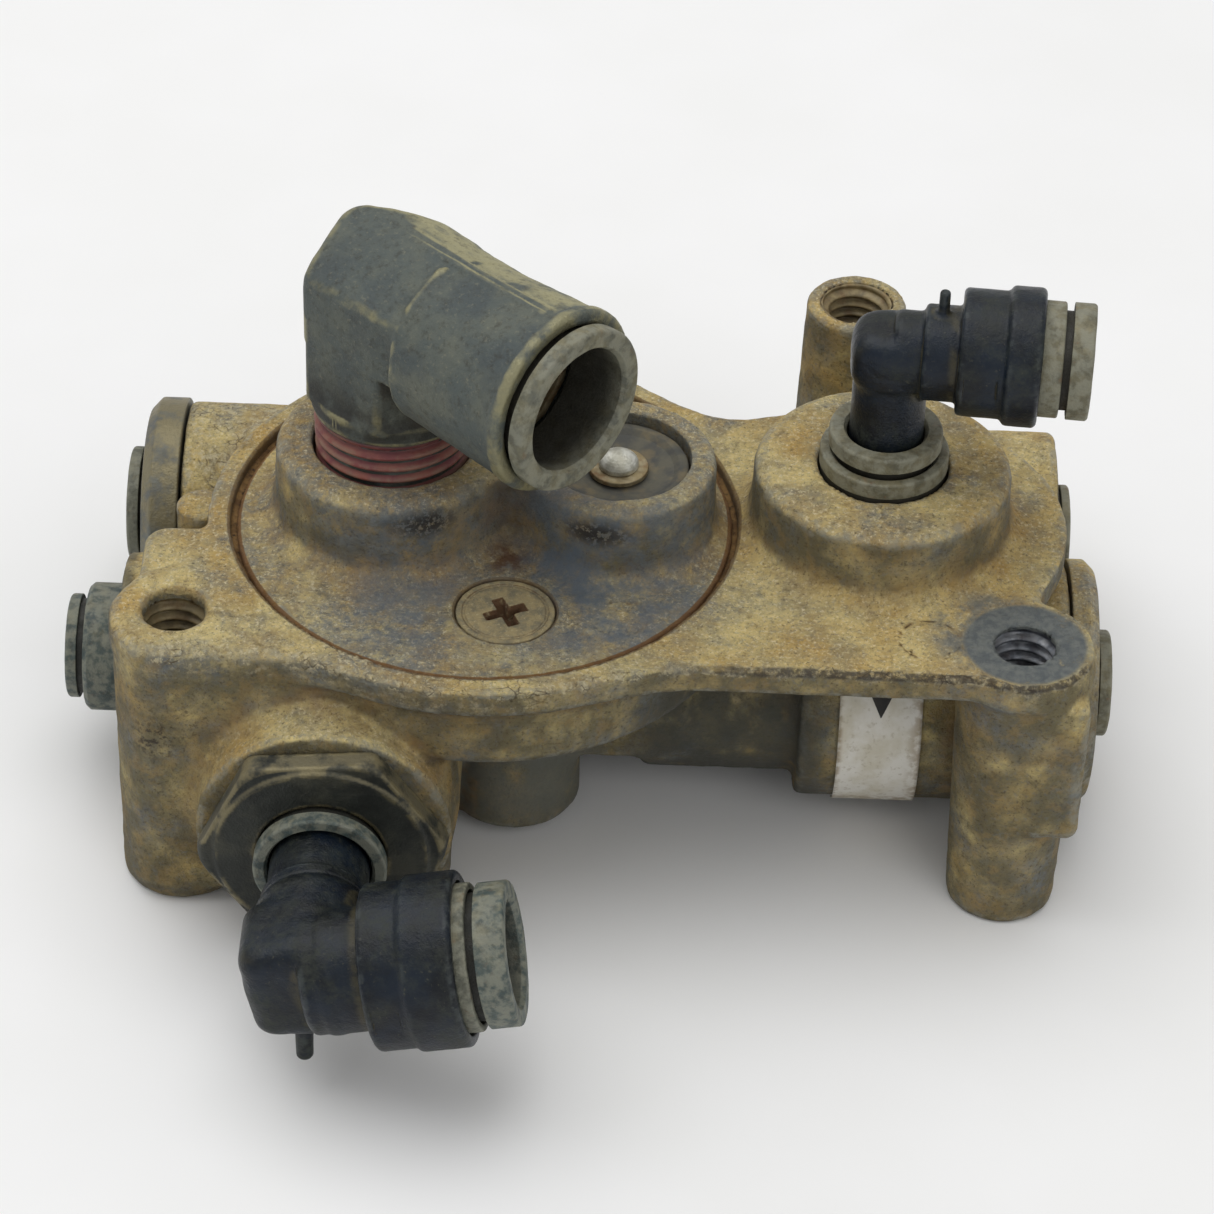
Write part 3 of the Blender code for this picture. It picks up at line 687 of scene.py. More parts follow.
    def bumps(self, *reliefs):
        """Relief from (mask, depth in millimetres) pairs."""
        normal = None
        for mask, depth in reliefs:
            made = self.node("ShaderNodeBump", Height=mask, Strength=1.0, Distance=depth * MM)
            if normal is not None:
                self.links.new(normal, made.inputs["Normal"])
            normal = made.outputs[0]
        self.links.new(normal, self.shader.inputs["Normal"])

    def finish(self, colour, rough, metal=0.0):
        """Closes the look and gives its material."""
        self.feed(self.shader.inputs["Base Color"], colour)
        self.feed(self.shader.inputs["Roughness"], rough)
        self.feed(self.shader.inputs["Metallic"], metal)
        return self.mat


def cast_look(name, bare=0.0):
    """Die-cast aluminium under road dust: tan film worn thin over grey metal, pale and dark grains, and
    painted shade on side faces and undersides.
    """
    k = Look(name)
    top = k.facing(UP, 0.25, 0.85)
    side = k.facing(UP, 0.72, 0.25)
    under = k.facing(DOWN, -0.1, 0.6)
    metal = k.mix(rgb(90, 98, 104), rgb(130, 134, 132), k.noise(3.0, 0.35, 0.7, 5.0))
    dust_and_shade = k.mix(rgb(226, 206, 142), rgb(196, 162, 92), k.noise(14.0, 0.38, 0.66, 5.0))
    dust_and_shade = k.coat(dust_and_shade, (170, 154, 112), k.noise(5.0, 0.40, 0.72, 6.0, 0.7, shift=2))
    # Painted shade: side faces are darkened to olive-tan and undersides darker still.
    dust_and_shade = k.coat(dust_and_shade, (98, 92, 69), side, k.noise(6.0, 0.2, 0.6, 5.0, shift=6), 0.9)
    dust_and_shade = k.coat(dust_and_shade, (84, 79, 62), under, 0.8)
    film = k.both(k.noise(10.0, 0.44 - bare, 0.68 - bare, 6.0, 0.65, shift=4),
                  k.noise(1.1, 0.28, 0.62, 6.0, 0.75))
    fine = k.both(k.noise(0.7, 0.50, 0.66, 5.0, 0.7, shift=13), 0.4)
    rubbed = k.either(k.both(film, 0.85), fine)
    colour = k.mix(dust_and_shade, metal, rubbed)
    colour = k.coat(colour, (240, 228, 190), k.noise(0.5, 0.51, 0.66, 5.0, 0.7, shift=8), top, 0.65)
    colour = k.coat(colour, (64, 52, 34), k.noise(0.5, 0.53, 0.68, 5.0, 0.7, shift=9), 0.65)
    colour = k.coat(colour, (164, 136, 80), k.noise(3.2, 0.50, 0.62, 6.0, 0.7, shift=17), 0.35)
    colour = k.coat(colour, (88, 74, 48), k.noise(2.0, 0.50, 0.72, 6.0, 0.75, shift=14), 0.5)
    edge = k.both(k.mark("edge", 0.25, 0.75), k.noise(2.0, 0.42, 0.62, 6.0, 0.7, shift=3))
    colour = k.coat(colour, (150, 150, 138), edge, 0.55)
    fillet = k.both(k.mark("hollow", 0.15, 0.7), k.noise(5.0, 0.3, 0.65, 5.0, shift=12))
    colour = k.coat(colour, (150, 116, 66), fillet, 0.55)
    colour = k.coat(colour, (84, 66, 38), k.mark("hollow", 0.6, 1.0), k.noise(3.0, 0.3, 0.6, 5.0), 0.6)
    return k, colour, rubbed, edge


def crusted(k, colour, where):
    """Dry dust that has shrunk into small plates."""
    crack = k.both(k.cracks(1.5, 0.0, 0.08), k.noise(4.0, 0.45, 0.60, 4.0, shift=5), where)
    colour = k.coat(colour, (208, 196, 160), where, k.noise(1.0, 0.48, 0.62, 5.0, 0.7, shift=7), 0.75)
    return k.coat(colour, (74, 58, 36), crack, 0.75), crack


def cast_relief(k, crack=None):
    """Grain of the casting and of its dust."""
    reliefs = [(k.noise(2.6, 0.2, 0.8, 5.0), 0.22), (k.noise(0.8, 0.25, 0.75, 6.0, 0.7), 0.2),
               (k.noise(0.3, 0.25, 0.75, 4.0, 0.7), 0.07)]
    if crack is not None:
        reliefs.append((crack, -0.1))
    k.bumps(*reliefs)


def body_look():
    """The casting also has a clean spot-face, a crusted front rim with a painted highlight along its top
    edge, and dark housings below that are partly painted shade.
    """
    k, colour, rubbed, edge = cast_look("dusty_casting")
    right = POSTS["right"]
    # Darker grey on the housings under the plate's right front and on the casting's left end; on the left
    # end it is partly the grey of a machined face and partly painted shade on that flank.
    low = k.both(k.level(0, 17.0, 24.0), k.level(0, 47.0, 42.5),
                 k.level(2, -5.0, -11.0), k.level(1, 14.0, 2.0))
    low = k.either(low, k.both(k.level(0, -45.8, -46.6), 0.8))
    colour = k.coat(colour, (72, 73, 66), low, k.noise(5.0, 0.2, 0.5, 5.0), 0.85)
    guide = k.both(k.near((*GUIDE_BOSS, -30.0), 10.0, 15.0), k.noise(5.0, 0.2, 0.5, 5.0, shift=6))
    colour = k.coat(colour, (106, 108, 100), guide, 0.85)
    colour = k.coat(colour, (112, 84, 46), k.belt((0.0, 0.0), SEAT_R - 0.2, 0.6),
                    k.level(2, -4.0, -0.4), 0.7)
    front = k.both(k.level(1, -26.5, -29.0), k.level(0, 26.0, 14.0), k.level(2, -4.2, -2.2))
    corner = k.near((-36.0, 29.0, -10.0), 8.0, 15.0)
    # The rim's pale crust along the front top edge is partly dry dust and partly a painted highlight along
    # that edge.
    rim = k.both(k.mark("edge", 0.15, 0.5), k.level(2, -3.2, -1.8), k.level(1, -24.0, -27.0))
    where = k.either(k.both(front, 0.5), rim, corner)
    colour, crack = crusted(k, colour, k.both(where, k.noise(3.0, 0.36, 0.56, 5.0, shift=15)))
    burnt = k.both(k.mark("edge", 0.3, 0.8), k.level(2, -3.0, -2.0), k.level(1, -24.0, -27.0),
                   k.level(0, 16.0, 40.0), k.noise(0.9, 0.30, 0.56, 6.0, 0.7, shift=16))
    colour = k.coat(colour, (62, 54, 46), burnt, 0.85)
    rust = k.both(k.near((-40.0, -29.0, -14.0), 2.0, 5.0), k.noise(1.0, 0.5, 0.62, 5.0))
    colour = k.coat(colour, (52, 44, 40), rust, 0.8)
    clean = k.both(k.near((*right, 0.0), 7.4, 8.5, (1, 1, 0.6)), k.noise(2.4, 0.2, 0.40, 5.0))
    wide = k.both(k.near((right[0] - 3.5, right[1] + 1.5, 0.0), 6.0, 9.5), k.noise(3.0, 0.35, 0.6, 5.0))
    clean = k.either(clean, k.both(wide, 0.8))
    metal = k.mix(rgb(104, 110, 112), rgb(130, 134, 130), k.noise(1.2, 0.35, 0.65, 5.0))
    colour = k.mix(colour, metal, clean)
    rough = k.value(0.9, 0.55, k.either(k.both(rubbed, 0.4), clean, edge))
    cast_relief(k, crack)
    return k.finish(colour, rough, k.value(0.0, 0.45, k.either(clean, k.both(edge, 0.5))))


def cover_look():
    """The cover is rubbed greyer, with a brown run between its bosses and soot marks on their fronts."""
    k, colour, rubbed, edge = cast_look("dusty_cover", bare=0.10)
    grey = k.either(k.near((14.0, -14.0, 2.0), 6.0, 22.0),
                    k.both(k.near((-8.0, -18.0, 2.0), 4.0, 18.0), 0.8))
    grey = k.both(grey, k.noise(6.0, 0.30, 0.62, 6.0, 0.7, shift=3))
    colour = k.coat(colour, (100, 113, 126), grey, 0.9)
    run = k.both(k.near((3.2, -8.5, 2.0), 1.2, 3.8, (1, 1, 0.4)), k.noise(1.6, 0.3, 0.6, 5.0))
    colour = k.coat(colour, (92, 54, 28), run, 0.8)
    soot = k.either(k.near((-7.0, -11.2, 7.2), 0.6, 3.6, (0.5, 1, 1.2)),
                    k.near((14.0, -11.6, 6.6), 0.6, 3.4, (0.45, 1, 1.3)))
    soot = k.both(soot, k.noise(0.7, 0.41, 0.51, 5.0, 0.7))
    colour = k.coat(colour, (34, 30, 28), soot, 0.9)
    colour = k.coat(colour, (128, 86, 38), k.belt((0.0, 0.0), COVER_R + 0.1, 0.7), 0.85)
    for spot in SCREWS.values():
        colour = k.coat(colour, (108, 84, 50), k.belt(spot, 6.5, 0.25), 0.6)
    cast_relief(k)
    rough = k.value(0.9, 0.55, k.either(k.both(rubbed, 0.4), edge))
    return k.finish(colour, rough, k.value(0.0, 0.4, k.both(edge, 0.5)))


def plain_cast_look():
    """The end cap: the casting's dust without its marks."""
    k, colour, rubbed, edge = cast_look("dusty_cap", bare=0.03)
    cast_relief(k)
    return k.finish(colour, k.value(0.88, 0.55, edge), k.value(0.0, 0.4, k.both(edge, 0.5)))


def screw_look():
    """Zinc-plated screw under the cover's dust, brown in its recess."""
    k = Look("dusty_screw")
    colour = k.mix(rgb(166, 150, 110), rgb(122, 116, 96), k.noise(1.6, 0.35, 0.68, 6.0, 0.7))
    colour = k.coat(colour, (196, 184, 150), k.noise(0.5, 0.54, 0.68, 5.0, 0.7, shift=3), 0.6)
    colour = k.coat(colour, (86, 54, 30), k.mark("hollow", 0.25, 0.7), k.noise(1.0, 0.2, 0.5), 0.9)
    k.bumps((k.noise(0.8, 0.2, 0.8, 5.0), 0.06), (k.noise(0.3, 0.3, 0.7, 4.0), 0.03))
    return k.finish(colour, 0.85, 0.1)


def composite_look():
    """Black glass-filled nylon with a film of olive dust that is wiped off in patches."""
    k = Look("black_composite")
    black = k.mix(rgb(7, 12, 20), rgb(16, 27, 40), k.noise(6.0, 0.35, 0.65, 5.0))
    film = k.both(k.noise(7.0, 0.40, 0.68, 6.0, 0.65, shift=3), k.noise(1.0, 0.30, 0.64, 6.0, 0.75))
    dusty_top = k.both(k.facing(UP, 0.5, 1.0), k.noise(2.2, 0.40, 0.7, 6.0, 0.7))
    film = k.either(k.both(film, 0.7), k.both(dusty_top, 0.4))
    colour = k.mix(black, rgb(56, 60, 50), film)
    colour = k.coat(colour, (96, 94, 76), k.noise(0.6, 0.60, 0.72, 5.0, 0.7, shift=11), 0.35)
    colour = k.coat(colour, (82, 76, 54), k.mark("hollow", 0.4, 1.0), k.noise(2.6, 0.3, 0.6), 0.6)
    worn = k.both(k.mark("edge", 0.4, 0.9), k.noise(2.0, 0.45, 0.62, 5.0))
    colour = k.coat(colour, (64, 70, 70), worn, 0.5)
    k.bumps((k.noise(1.6, 0.2, 0.8, 4.0), 0.06), (k.noise(0.3, 0.3, 0.7, 3.0), 0.02))
    k.shader.inputs["Specular IOR Level"].default_value = 0.3
    return k.finish(colour, k.value(0.33, 0.72, film))


def collet_look(name, base, dark, rust=0.35):
    """Khaki-grey acetal with scuffs, painted shade darkening its bore and inner corners, and odd
    rust-coloured spots.
    """
    k = Look(name)
    colour = k.mix(base, dark, k.noise(2.6, 0.35, 0.68, 5.0))
    colour = k.coat(colour, (142, 134, 104), k.facing(UP, 0.3, 0.95), k.noise(1.8, 0.4, 0.7, 4.0), 0.5)
    colour = k.coat(colour, (70, 68, 54), k.noise(0.7, 0.50, 0.68, 6.0, 0.7, shift=9), 0.5)
    spots = k.both(k.noise(1.8, 0.60, 0.70, 5.0, shift=5), rust)
    colour = k.coat(colour, (122, 78, 38), spots)
    worn = k.both(k.mark("edge", 0.3, 0.9), k.noise(1.6, 0.38, 0.6, 4.0))
    colour = k.coat(colour, (138, 138, 122), worn, 0.6)
    # Painted shade: near-black in the bore and the inner corners.
    colour = k.coat(colour, (34, 32, 26), k.mark("hollow", 0.08, 0.55), 0.9)
    k.bumps((k.noise(1.2, 0.2, 0.8, 4.0), 0.05), (k.noise(0.3, 0.3, 0.7), 0.02))
    return k.finish(colour, k.value(0.5, 0.75, k.noise(2.5, 0.3, 0.7)))


def brass_look():
    """Forged brass gone grey, with a tan back facet painted lighter where light falls from above and
    behind, brighter rubbed edges and painted shade low down.
    """
    k = Look("tarnished_brass")
    colour = k.mix(rgb(78, 86, 84), rgb(96, 100, 90), k.noise(6.0, 0.35, 0.68, 5.0))
    colour = k.coat(colour, (66, 74, 76), k.noise(9.0, 0.45, 0.65, 4.0, shift=6), 0.7)
    # Painted light: the facet facing up and back is painted tan and lighter, as if lit from above and
    # behind.
    backward = tuple(np.array(UP) * 0.9 + ACROSS * 0.43)
    back = k.both(k.facing(backward, 0.90, 0.99), k.noise(5.0, 0.28, 0.5, 4.0))
    colour = k.coat(colour, (164, 158, 120), back, 0.85)
    colour = k.coat(colour, (50, 47, 38), k.noise(1.1, 0.48, 0.70, 6.0, 0.75, shift=2), 0.6)
    colour = k.coat(colour, (130, 128, 108), k.noise(0.7, 0.54, 0.70, 6.0, 0.75, shift=8), 0.5)
    # Painted shade: the lower part of the elbow is darkened towards the bottom.
    low = k.both(k.level(2, 27.0, 19.0), k.noise(4.0, 0.25, 0.55, 5.0))
    colour = k.coat(colour, (34, 33, 29), low, 0.8)
    colour = k.coat(colour, (46, 41, 30), k.mark("hollow", 0.3, 0.9), 0.8)
    worn = k.both(k.mark("edge", 0.3, 0.8), k.noise(4.0, 0.36, 0.58, 5.0))
    colour = k.coat(colour, (158, 152, 116), worn, 0.7)
    k.bumps((k.noise(2.0, 0.2, 0.8, 5.0), 0.1), (k.noise(0.4, 0.3, 0.7, 4.0), 0.04))
    return k.finish(colour, k.value(0.66, 0.45, worn), k.value(0.15, 0.6, worn))


def sealant_look():
    """Red thread sealant, dusty on the crests and dark at the top turn."""
    k = Look("thread_sealant")
    colour = k.mix(rgb(112, 52, 56), rgb(134, 78, 66), k.noise(3.0, 0.35, 0.65, 4.0))
    colour = k.coat(colour, (132, 112, 92), k.mark("edge", 0.3, 0.9), k.noise(2.2, 0.35, 0.6), 0.55)
    colour = k.coat(colour, (70, 34, 36), k.mark("hollow", 0.4, 0.95), 0.6)
    colour = k.coat(colour, (42, 44, 48), k.level(2, 15.2, 16.2))
    k.bumps((k.noise(0.9, 0.2, 0.8, 4.0), 0.05),)
    return k.finish(colour, 0.55)


def steel_look(name, light, dark, rust, shine=0.85):
    """Turned or rolled metal with a share of rust and dust."""
    k = Look(name)
    colour = k.mix(light, dark, k.noise(2.0, 0.35, 0.65, 4.0))
    colour = k.coat(colour, (118, 80, 42), k.noise(1.4, 0.45, 0.65, 4.0, shift=4), rust)
    colour = k.coat(colour, (150, 132, 92), k.facing(UP, 0.4, 0.95), k.noise(3.0, 0.4, 0.6), rust)
    k.bumps((k.noise(0.8, 0.2, 0.8, 4.0), 0.03), (k.noise(0.25, 0.3, 0.7), 0.01))
    return k.finish(colour, k.value(0.38, 0.65, k.noise(1.6, 0.3, 0.7)), k.value(shine, shine * 0.4, rust))


def machined_look(name="dulled_adapter", light=rgb(42, 45, 40), dark=rgb(29, 32, 28)):
    """Dulled grey metal of the adapters, olive dust on upper faces."""
    k = Look(name)
    colour = k.mix(dark, light, k.noise(5.0, 0.35, 0.65, 4.0))
    colour = k.coat(colour, (76, 75, 62), k.noise(7.0, 0.46, 0.64, 5.0), 0.5)
    colour = k.coat(colour, (118, 110, 84), k.facing(UP, 0.15, 0.8), k.noise(3.0, 0.3, 0.55, 4.0), 0.75)
    colour = k.coat(colour, (82, 72, 48), k.mark("hollow", 0.25, 0.85), 0.7)
    worn = k.both(k.mark("edge", 0.3, 0.8), k.noise(3.0, 0.4, 0.6, 4.0))
    colour = k.coat(colour, (134, 124, 92), worn, 0.65)
    k.bumps((k.noise(1.4, 0.2, 0.8, 4.0), 0.06), (k.noise(0.35, 0.3, 0.7, 3.0), 0.02))
    return k.finish(colour, k.value(0.6, 0.45, worn), k.value(0.2, 0.5, worn))


def rubber_look(name, base, dusty):
    """Rubber or print, dusty on upper faces."""
    k = Look(name)
    colour = k.mix(base, dusty, k.both(k.noise(2.4, 0.35, 0.65, 5.0), 0.7))
    colour = k.coat(colour, (134, 118, 84), k.noise(3.6, 0.5, 0.7, shift=4), k.facing(UP, 0.3, 0.9), 0.5)
    k.bumps((k.noise(0.8, 0.2, 0.8, 4.0), 0.03),)
    return k.finish(colour, 0.78)


def grime_look():
    """Packed brown dirt."""
    k = Look("packed_dirt")
    colour = k.mix(rgb(92, 66, 36), rgb(128, 98, 56), k.noise(1.6, 0.35, 0.65, 4.0))
    colour = k.coat(colour, (54, 38, 22), k.noise(0.9, 0.5, 0.7, 4.0, shift=3))
    k.bumps((k.noise(0.7, 0.2, 0.8, 4.0), 0.12),)
    return k.finish(colour, 0.95)


def label_look():
    """White film, soiled at its edges, with a plain dark triangle."""
    k = Look("label_film")
    colour = k.mix(rgb(214, 211, 202), rgb(196, 190, 172), k.noise(6.0, 0.4, 0.65, 4.0))
    soil = k.either(k.level(0, 55.6, 57.8), k.level(0, 47.9, 47.3), k.level(2, -33.6, -35.0))
    colour = k.coat(colour, (136, 112, 74), soil, k.noise(1.5, 0.38, 0.6, 4.0), 0.6)
    colour = k.coat(colour, (150, 138, 110), k.noise(0.8, 0.55, 0.7, 4.0, shift=5), 0.4)
    k.bumps((k.noise(3.0, 0.2, 0.8, 3.0), 0.05),)
    return k.finish(colour, 0.5)


CAST = body_look()
COVER = cover_look()
CAP = plain_cast_look()
COMPOSITE = composite_look()
COLLET = collet_look("khaki_acetal", rgb(96, 97, 84), rgb(78, 80, 70))
PALE_COLLET = collet_look("grey_acetal", rgb(72, 84, 81), rgb(56, 68, 67), 0.15)
DUSTY_COLLET = collet_look("dusty_acetal", rgb(110, 105, 82), rgb(88, 86, 70), 0.35)
BRASS = brass_look()
SEALANT = sealant_look()
STEEL = steel_look("rusty_steel", rgb(168, 156, 126), rgb(126, 112, 84), 0.55)
BRIGHT = steel_look("bright_rivet", rgb(226, 226, 216), rgb(176, 174, 160), 0.05)
SPRING = steel_look("spring_wire", rgb(150, 150, 150), rgb(110, 110, 112), 0.1)
ADAPTER = machined_look()
FLAP = rubber_look("grey_flap_rubber", rgb(76, 76, 72), rgb(104, 100, 84))
SEAL = rubber_look("black_nitrile", rgb(22, 22, 22), rgb(46, 44, 40))
GRIME = grime_look()
PAPER = label_look()
INK = rubber_look("dark_print", rgb(38, 38, 38), rgb(58, 54, 48))
SCREW = screw_look()
BRIGHT_THREAD = steel_look("clean_thread", rgb(150, 154, 160), rgb(92, 96, 104), 0.1)
DUSTY_THREAD = steel_look("dusty_thread", rgb(152, 136, 98), rgb(108, 96, 68), 0.3, 0.1)
BRASS_COLLET = collet_look("brassy_ring", rgb(112, 108, 86), rgb(88, 90, 80), 0.2)
SHUTTLE_METAL = machined_look("grey_adapter", rgb(118, 120, 112), rgb(88, 92, 92))
TURNED = steel_look("turned_aluminium", rgb(168, 170, 172), rgb(140, 142, 145), 0.05)
CLEAN_BRASS = steel_look("clean_brass", rgb(176, 148, 84), rgb(148, 122, 68), 0.05)


def dress(obj, look, body, slot, *nodes):
    """Gives a piece its look and its body, and hides the CAD nodes it stands for; the slot argument is not
    used.
    """
    obj.data.materials.clear()
    obj.data.materials.append(look)
    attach(obj, body)
    if nodes:
        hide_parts(*nodes)
    return obj

# ------------------------------------------------------------------ castings


def along_x(y, z, x0, x1):
    """Start and end of a bore that runs along X."""
    return (x0, y, z), (x1, y, z)


def body_outline(p):
    """Plan of the top plate: round seat, bar along the front, dome end and post lobes."""
    left, right = POSTS["left"], POSTS["right"]
    plate = blend(5.0, disc2(p, (0, 0), FLANGE_R), rect2(p, (left[0], -29.6), (right[0], -10), 0.5),
                  rect2(p, (10, -20), (DOME[0] + 6, 23.3), 3.0), disc2(p, DOME, 24.6))
    return blend(2.0, plate, disc2(p, left, 8.0), disc2(p, right, 8.8))


def body_solid(p):
    """The casting before its holes."""
    z = p[:, 2]
    left, right, back = POSTS["left"], POSTS["right"], POSTS["back"]
    plate = slab(body_outline(p), z, -PLATE_T, 0, 0.75)
    # front block with the boss of the delivery port, and the left post in its corner
    front = slab(rect2(p, (-43.6, -30.5), (-3, -4), 3.2), z, -40, -0.1, 1.3)
    front = blend(3.5, front, rod(p, (FRONT_X, -10, FRONT_Z), (FRONT_X, -36.5, FRONT_Z), 16.3, 0.9))
    front = blend(2.5, front, rod(p, (*left, BASE), (*left, -0.1), 8.0, 0.9))
    # housing of the left port, with a small round rib
    side = blend(3.0, block(p, (-34, -10, -34), (-6, 30, -8), 2.0),
                 block(p, (-41.5, -2, -30), (-20, 24, -18), 2.0),
                 rod(p, *along_x(VALVE_Y, BORE_Z, -20, -47.7), 12.7, 0.8))
    side = blend(1.2, side, rod(p, (-38.3, 12, -24), (-38.3, 12, -9), 3.4, 0.7))
    # under the plate: well of the cover, piston housing, exhaust and guide bosses, shuttle bore
    lower = blend(3.0, rod(p, (0, 0, -14), (0, 0, -1), 34, 2.0),
                  rod(p, *along_x(VALVE_Y, BORE_Z, 21, 44), 13.1, 1.8),
                  rod(p, (*EXHAUST, -30), (*EXHAUST, -10), 14, 1.5),
                  rod(p, (*GUIDE_BOSS, -39.7), (*GUIDE_BOSS, -12), 8.9, 1.0),
                  block(p, (4, 6, -28), (60, 30, -10), 2.0))
    lower = blend(1.5, lower, rod(p, *along_x(VALVE_Y, BORE_Z, 42, 76.9), 16.2, 0.9))
    lower = blend(2.5, lower, rod(p, *along_x(SHUTTLE_Y, BORE_Z, -42.4, 77.2), 14.4, 0.9),
                  rod(p, (*DOME, -16), (*DOME, -1), 9.0, 1.0))
    dome = rod(p, (*DOME, -3), (*DOME, DOME_TOP), 17.1, 1.5, 16.6)
    stand = blend(2.0, rod(p, (*right, BASE), (*right, -2), 7.0, 0.9, 8.3),
                  block(p, (right[0] + 1.6, right[1] - 8.5, -26), (right[0] + 8.4, right[1] + 2, -4), 1.6))
    tail = blend(2.5, rod(p, (*back, BASE), (*back, -1), 8.3, 0.8, 6.9),
                 block(p, (back[0] - 5, SHUTTLE_Y + 6, -38), (back[0] + 5, back[1], -14), 2.0))
    total = blend(2.2, plate, lower, side)
    total = blend(1.6, total, front)
    total = blend(3.6, total, dome)
    total = blend(2.2, total, stand, tail)
    ejector = np.abs(disc2(p, (57.3, -22.2), 3.6)) - 0.22
    return carve(0.2, total, np.maximum(ejector, np.abs(z) - 0.22))


def body_holes(p):
    """Every hole in the casting, as one field."""
    dx, dy = DOME
    tools = [rod(p, (*spot, -12.5), (*spot, -3), 2.9, 0.2) for spot in SCREWS.values()]
    for spot in POSTS.values():
        tools += [rod(p, (*spot, -20), (*spot, -3), 3.3, 0.2),
                  rod(p, (*spot, -15.4), (*spot, -1.2), 4.92, 0.2),
                  rod(p, (*spot, -3), (*spot, 3), HOLE_R, 0.2),
                  rod(p, (*spot, -0.6), (*spot, 1.0), HOLE_R - 0.1, 0.1, HOLE_R + 0.7)]
    tools += [
        rod(p, (0, 0, -5.1), (0, 0, 2), SEAT_R, 0.3),
        rod(p, (*POSTS["right"], -0.22), (*POSTS["right"], 4), 8.1, 0.1),
        rod(p, (*EXHAUST, -27), (*EXHAUST, -2), 11.6, 0.3),
        rod(p, (*SUPPLY, -11), (*SUPPLY, -2), 9.0, 0.3),
        rod(p, (-8, 3, -9), (10, 3, -9), 3.2, 0.3),
        rod(p, (*GUIDE_BOSS, -34), (*GUIDE_BOSS, -2), 4.5, 0.3),
        rod(p, (FRONT_X, -22, FRONT_Z), (FRONT_X, -40, FRONT_Z), 11.2, 0.3),
        rod(p, (FRONT_X, 4, FRONT_Z), (FRONT_X, -23, FRONT_Z), 6.6, 0.3),
        rod(p, (FRONT_X, 0, FRONT_Z), (FRONT_X, 0, -3), 3.0, 0.3),
        rod(p, *along_x(VALVE_Y, BORE_Z, -50, -36), 8.85, 0.3),
        rod(p, *along_x(VALVE_Y, BORE_Z, -37, -20), 3.6, 0.3),
        rod(p, *along_x(VALVE_Y, BORE_Z, 46, 80), 13.2, 0.3),
        rod(p, *along_x(VALVE_Y, BORE_Z, 33, 47), 9.6, 0.3),
        rod(p, *along_x(VALVE_Y, BORE_Z, 22, 34), 3.0, 0.3),
        rod(p, (dx, dy, -5), (dx, dy, 12), 8.5, 0.3),
        rod(p, (dx, dy, -20), (dx, dy, -4), 5.6, 0.3),
        rod(p, *along_x(SHUTTLE_Y, BORE_Z, -35, 64), 6.6, 0.3),
        rod(p, *along_x(SHUTTLE_Y, BORE_Z, -45, -28), 10.6, 0.3),
        rod(p, *along_x(SHUTTLE_Y, BORE_Z, 60, 80), 8.85, 0.3),
        rod(p, (15, 6, -20), (15, SHUTTLE_Y, BORE_Z), 3.0, 0.3),
    ]
    return np.minimum.reduce(tools)


def body_field(p):
    """The casting with its holes."""
    return carve(0.5, body_solid(p), body_holes(p))


def cover_field(p):
    """Round cover: two bosses with a saddle between them, recessed ports and screw seats."""
    plate = rod(p, (0, 0, -2.4), (0, 0, COVER_TOP), COVER_R, 0.7)
    foot = rod(p, (0, 0, -4.8), (0, 0, -1.5), COVER_R - 1.9, 0.3)
    bosses = blend(6.5, rod(p, (*SUPPLY, -3), (*SUPPLY, BOSS_TOP), 15.6, 1.9, 15.2),
                   rod(p, (*EXHAUST, -3), (*EXHAUST, BOSS_TOP), 13.0, 1.3, 12.6))
    bosses = np.maximum(bosses, p[:, 2] - BOSS_TOP)
    total = blend(3.4, np.minimum(plate, foot), bosses)
    x, y = EXHAUST
    holes = [rod(p, (x, y, 6.0), (x, y, 14), 9.4, 0.2),
             rod(p, (x, y, -6), (x, y, 4.4), 4.7, 0.2),
             rod(p, (x, y, 4), (x, y, 7), 1.6, 0.1),
             rod(p, (*SUPPLY, -0.5), (*SUPPLY, 13), 10.4, 0.2),
             rod(p, (*SUPPLY, BOSS_TOP - 0.7), (*SUPPLY, BOSS_TOP + 0.9), 10.3, 0.1, 11.2),
             rod(p, (*SUPPLY, -6), (*SUPPLY, 0), 8.0, 0.2)]
    for k in range(4):
        turn = math.radians(45 + 90 * k)
        spot = (x + 3.2 * math.cos(turn), y + 3.2 * math.sin(turn))
        holes.append(rod(p, (*spot, 3), (*spot, 7), 1.2, 0.1))
    for spot in SCREWS.values():
        holes.append(rod(p, (*spot, COVER_TOP - 0.6), (*spot, 3), 6.5, 0.1))
        holes.append(rod(p, (*spot, COVER_TOP - 3.2), (*spot, COVER_TOP - 0.55), 3.0, 0.1, 6.4))
        holes.append(rod(p, (*spot, -7), (*spot, 0), 3.1, 0.1))
    ejector = np.abs(disc2(p, (18.0, -18.9), 3.4)) - 0.2
    holes.append(np.maximum(ejector, np.abs(p[:, 2] - COVER_TOP) - 0.12))
    return carve(0.35, total, *holes)


def castings():
    """Body, cover, the threads in the posts and the dirt round the cover."""
    lo = np.array((-48.6, -38.0, BASE - 0.8))
    hi = np.array((79.2, 62.0, DOME_TOP + 1.4))
    body = sculpt("cast_body", body_field, lo, hi, 0.6, 0.62, 0.07, 1.9)
    dress(body, CAST, "body", "cast_aluminium", "valve_body")
    span = COVER_R + 0.8
    top = sculpt("cast_cover", cover_field, (-span, -span, -5.8), (span, span, BOSS_TOP + 1.0),
                 0.42, 0.62, 0.06, 1.7)
    dress(top, COVER, "body", "cast_aluminium", "cover_plate")
    for tag, spot in POSTS.items():
        sleeve = thread("thread_" + tag, HOLE_R, 4.75, 5.05, 1.5875, -15.2, -1.3, spot)
        dress(sleeve, DUSTY_THREAD if tag != "right" else BRIGHT_THREAD, "body", "cast_aluminium")
    dirt_ring()


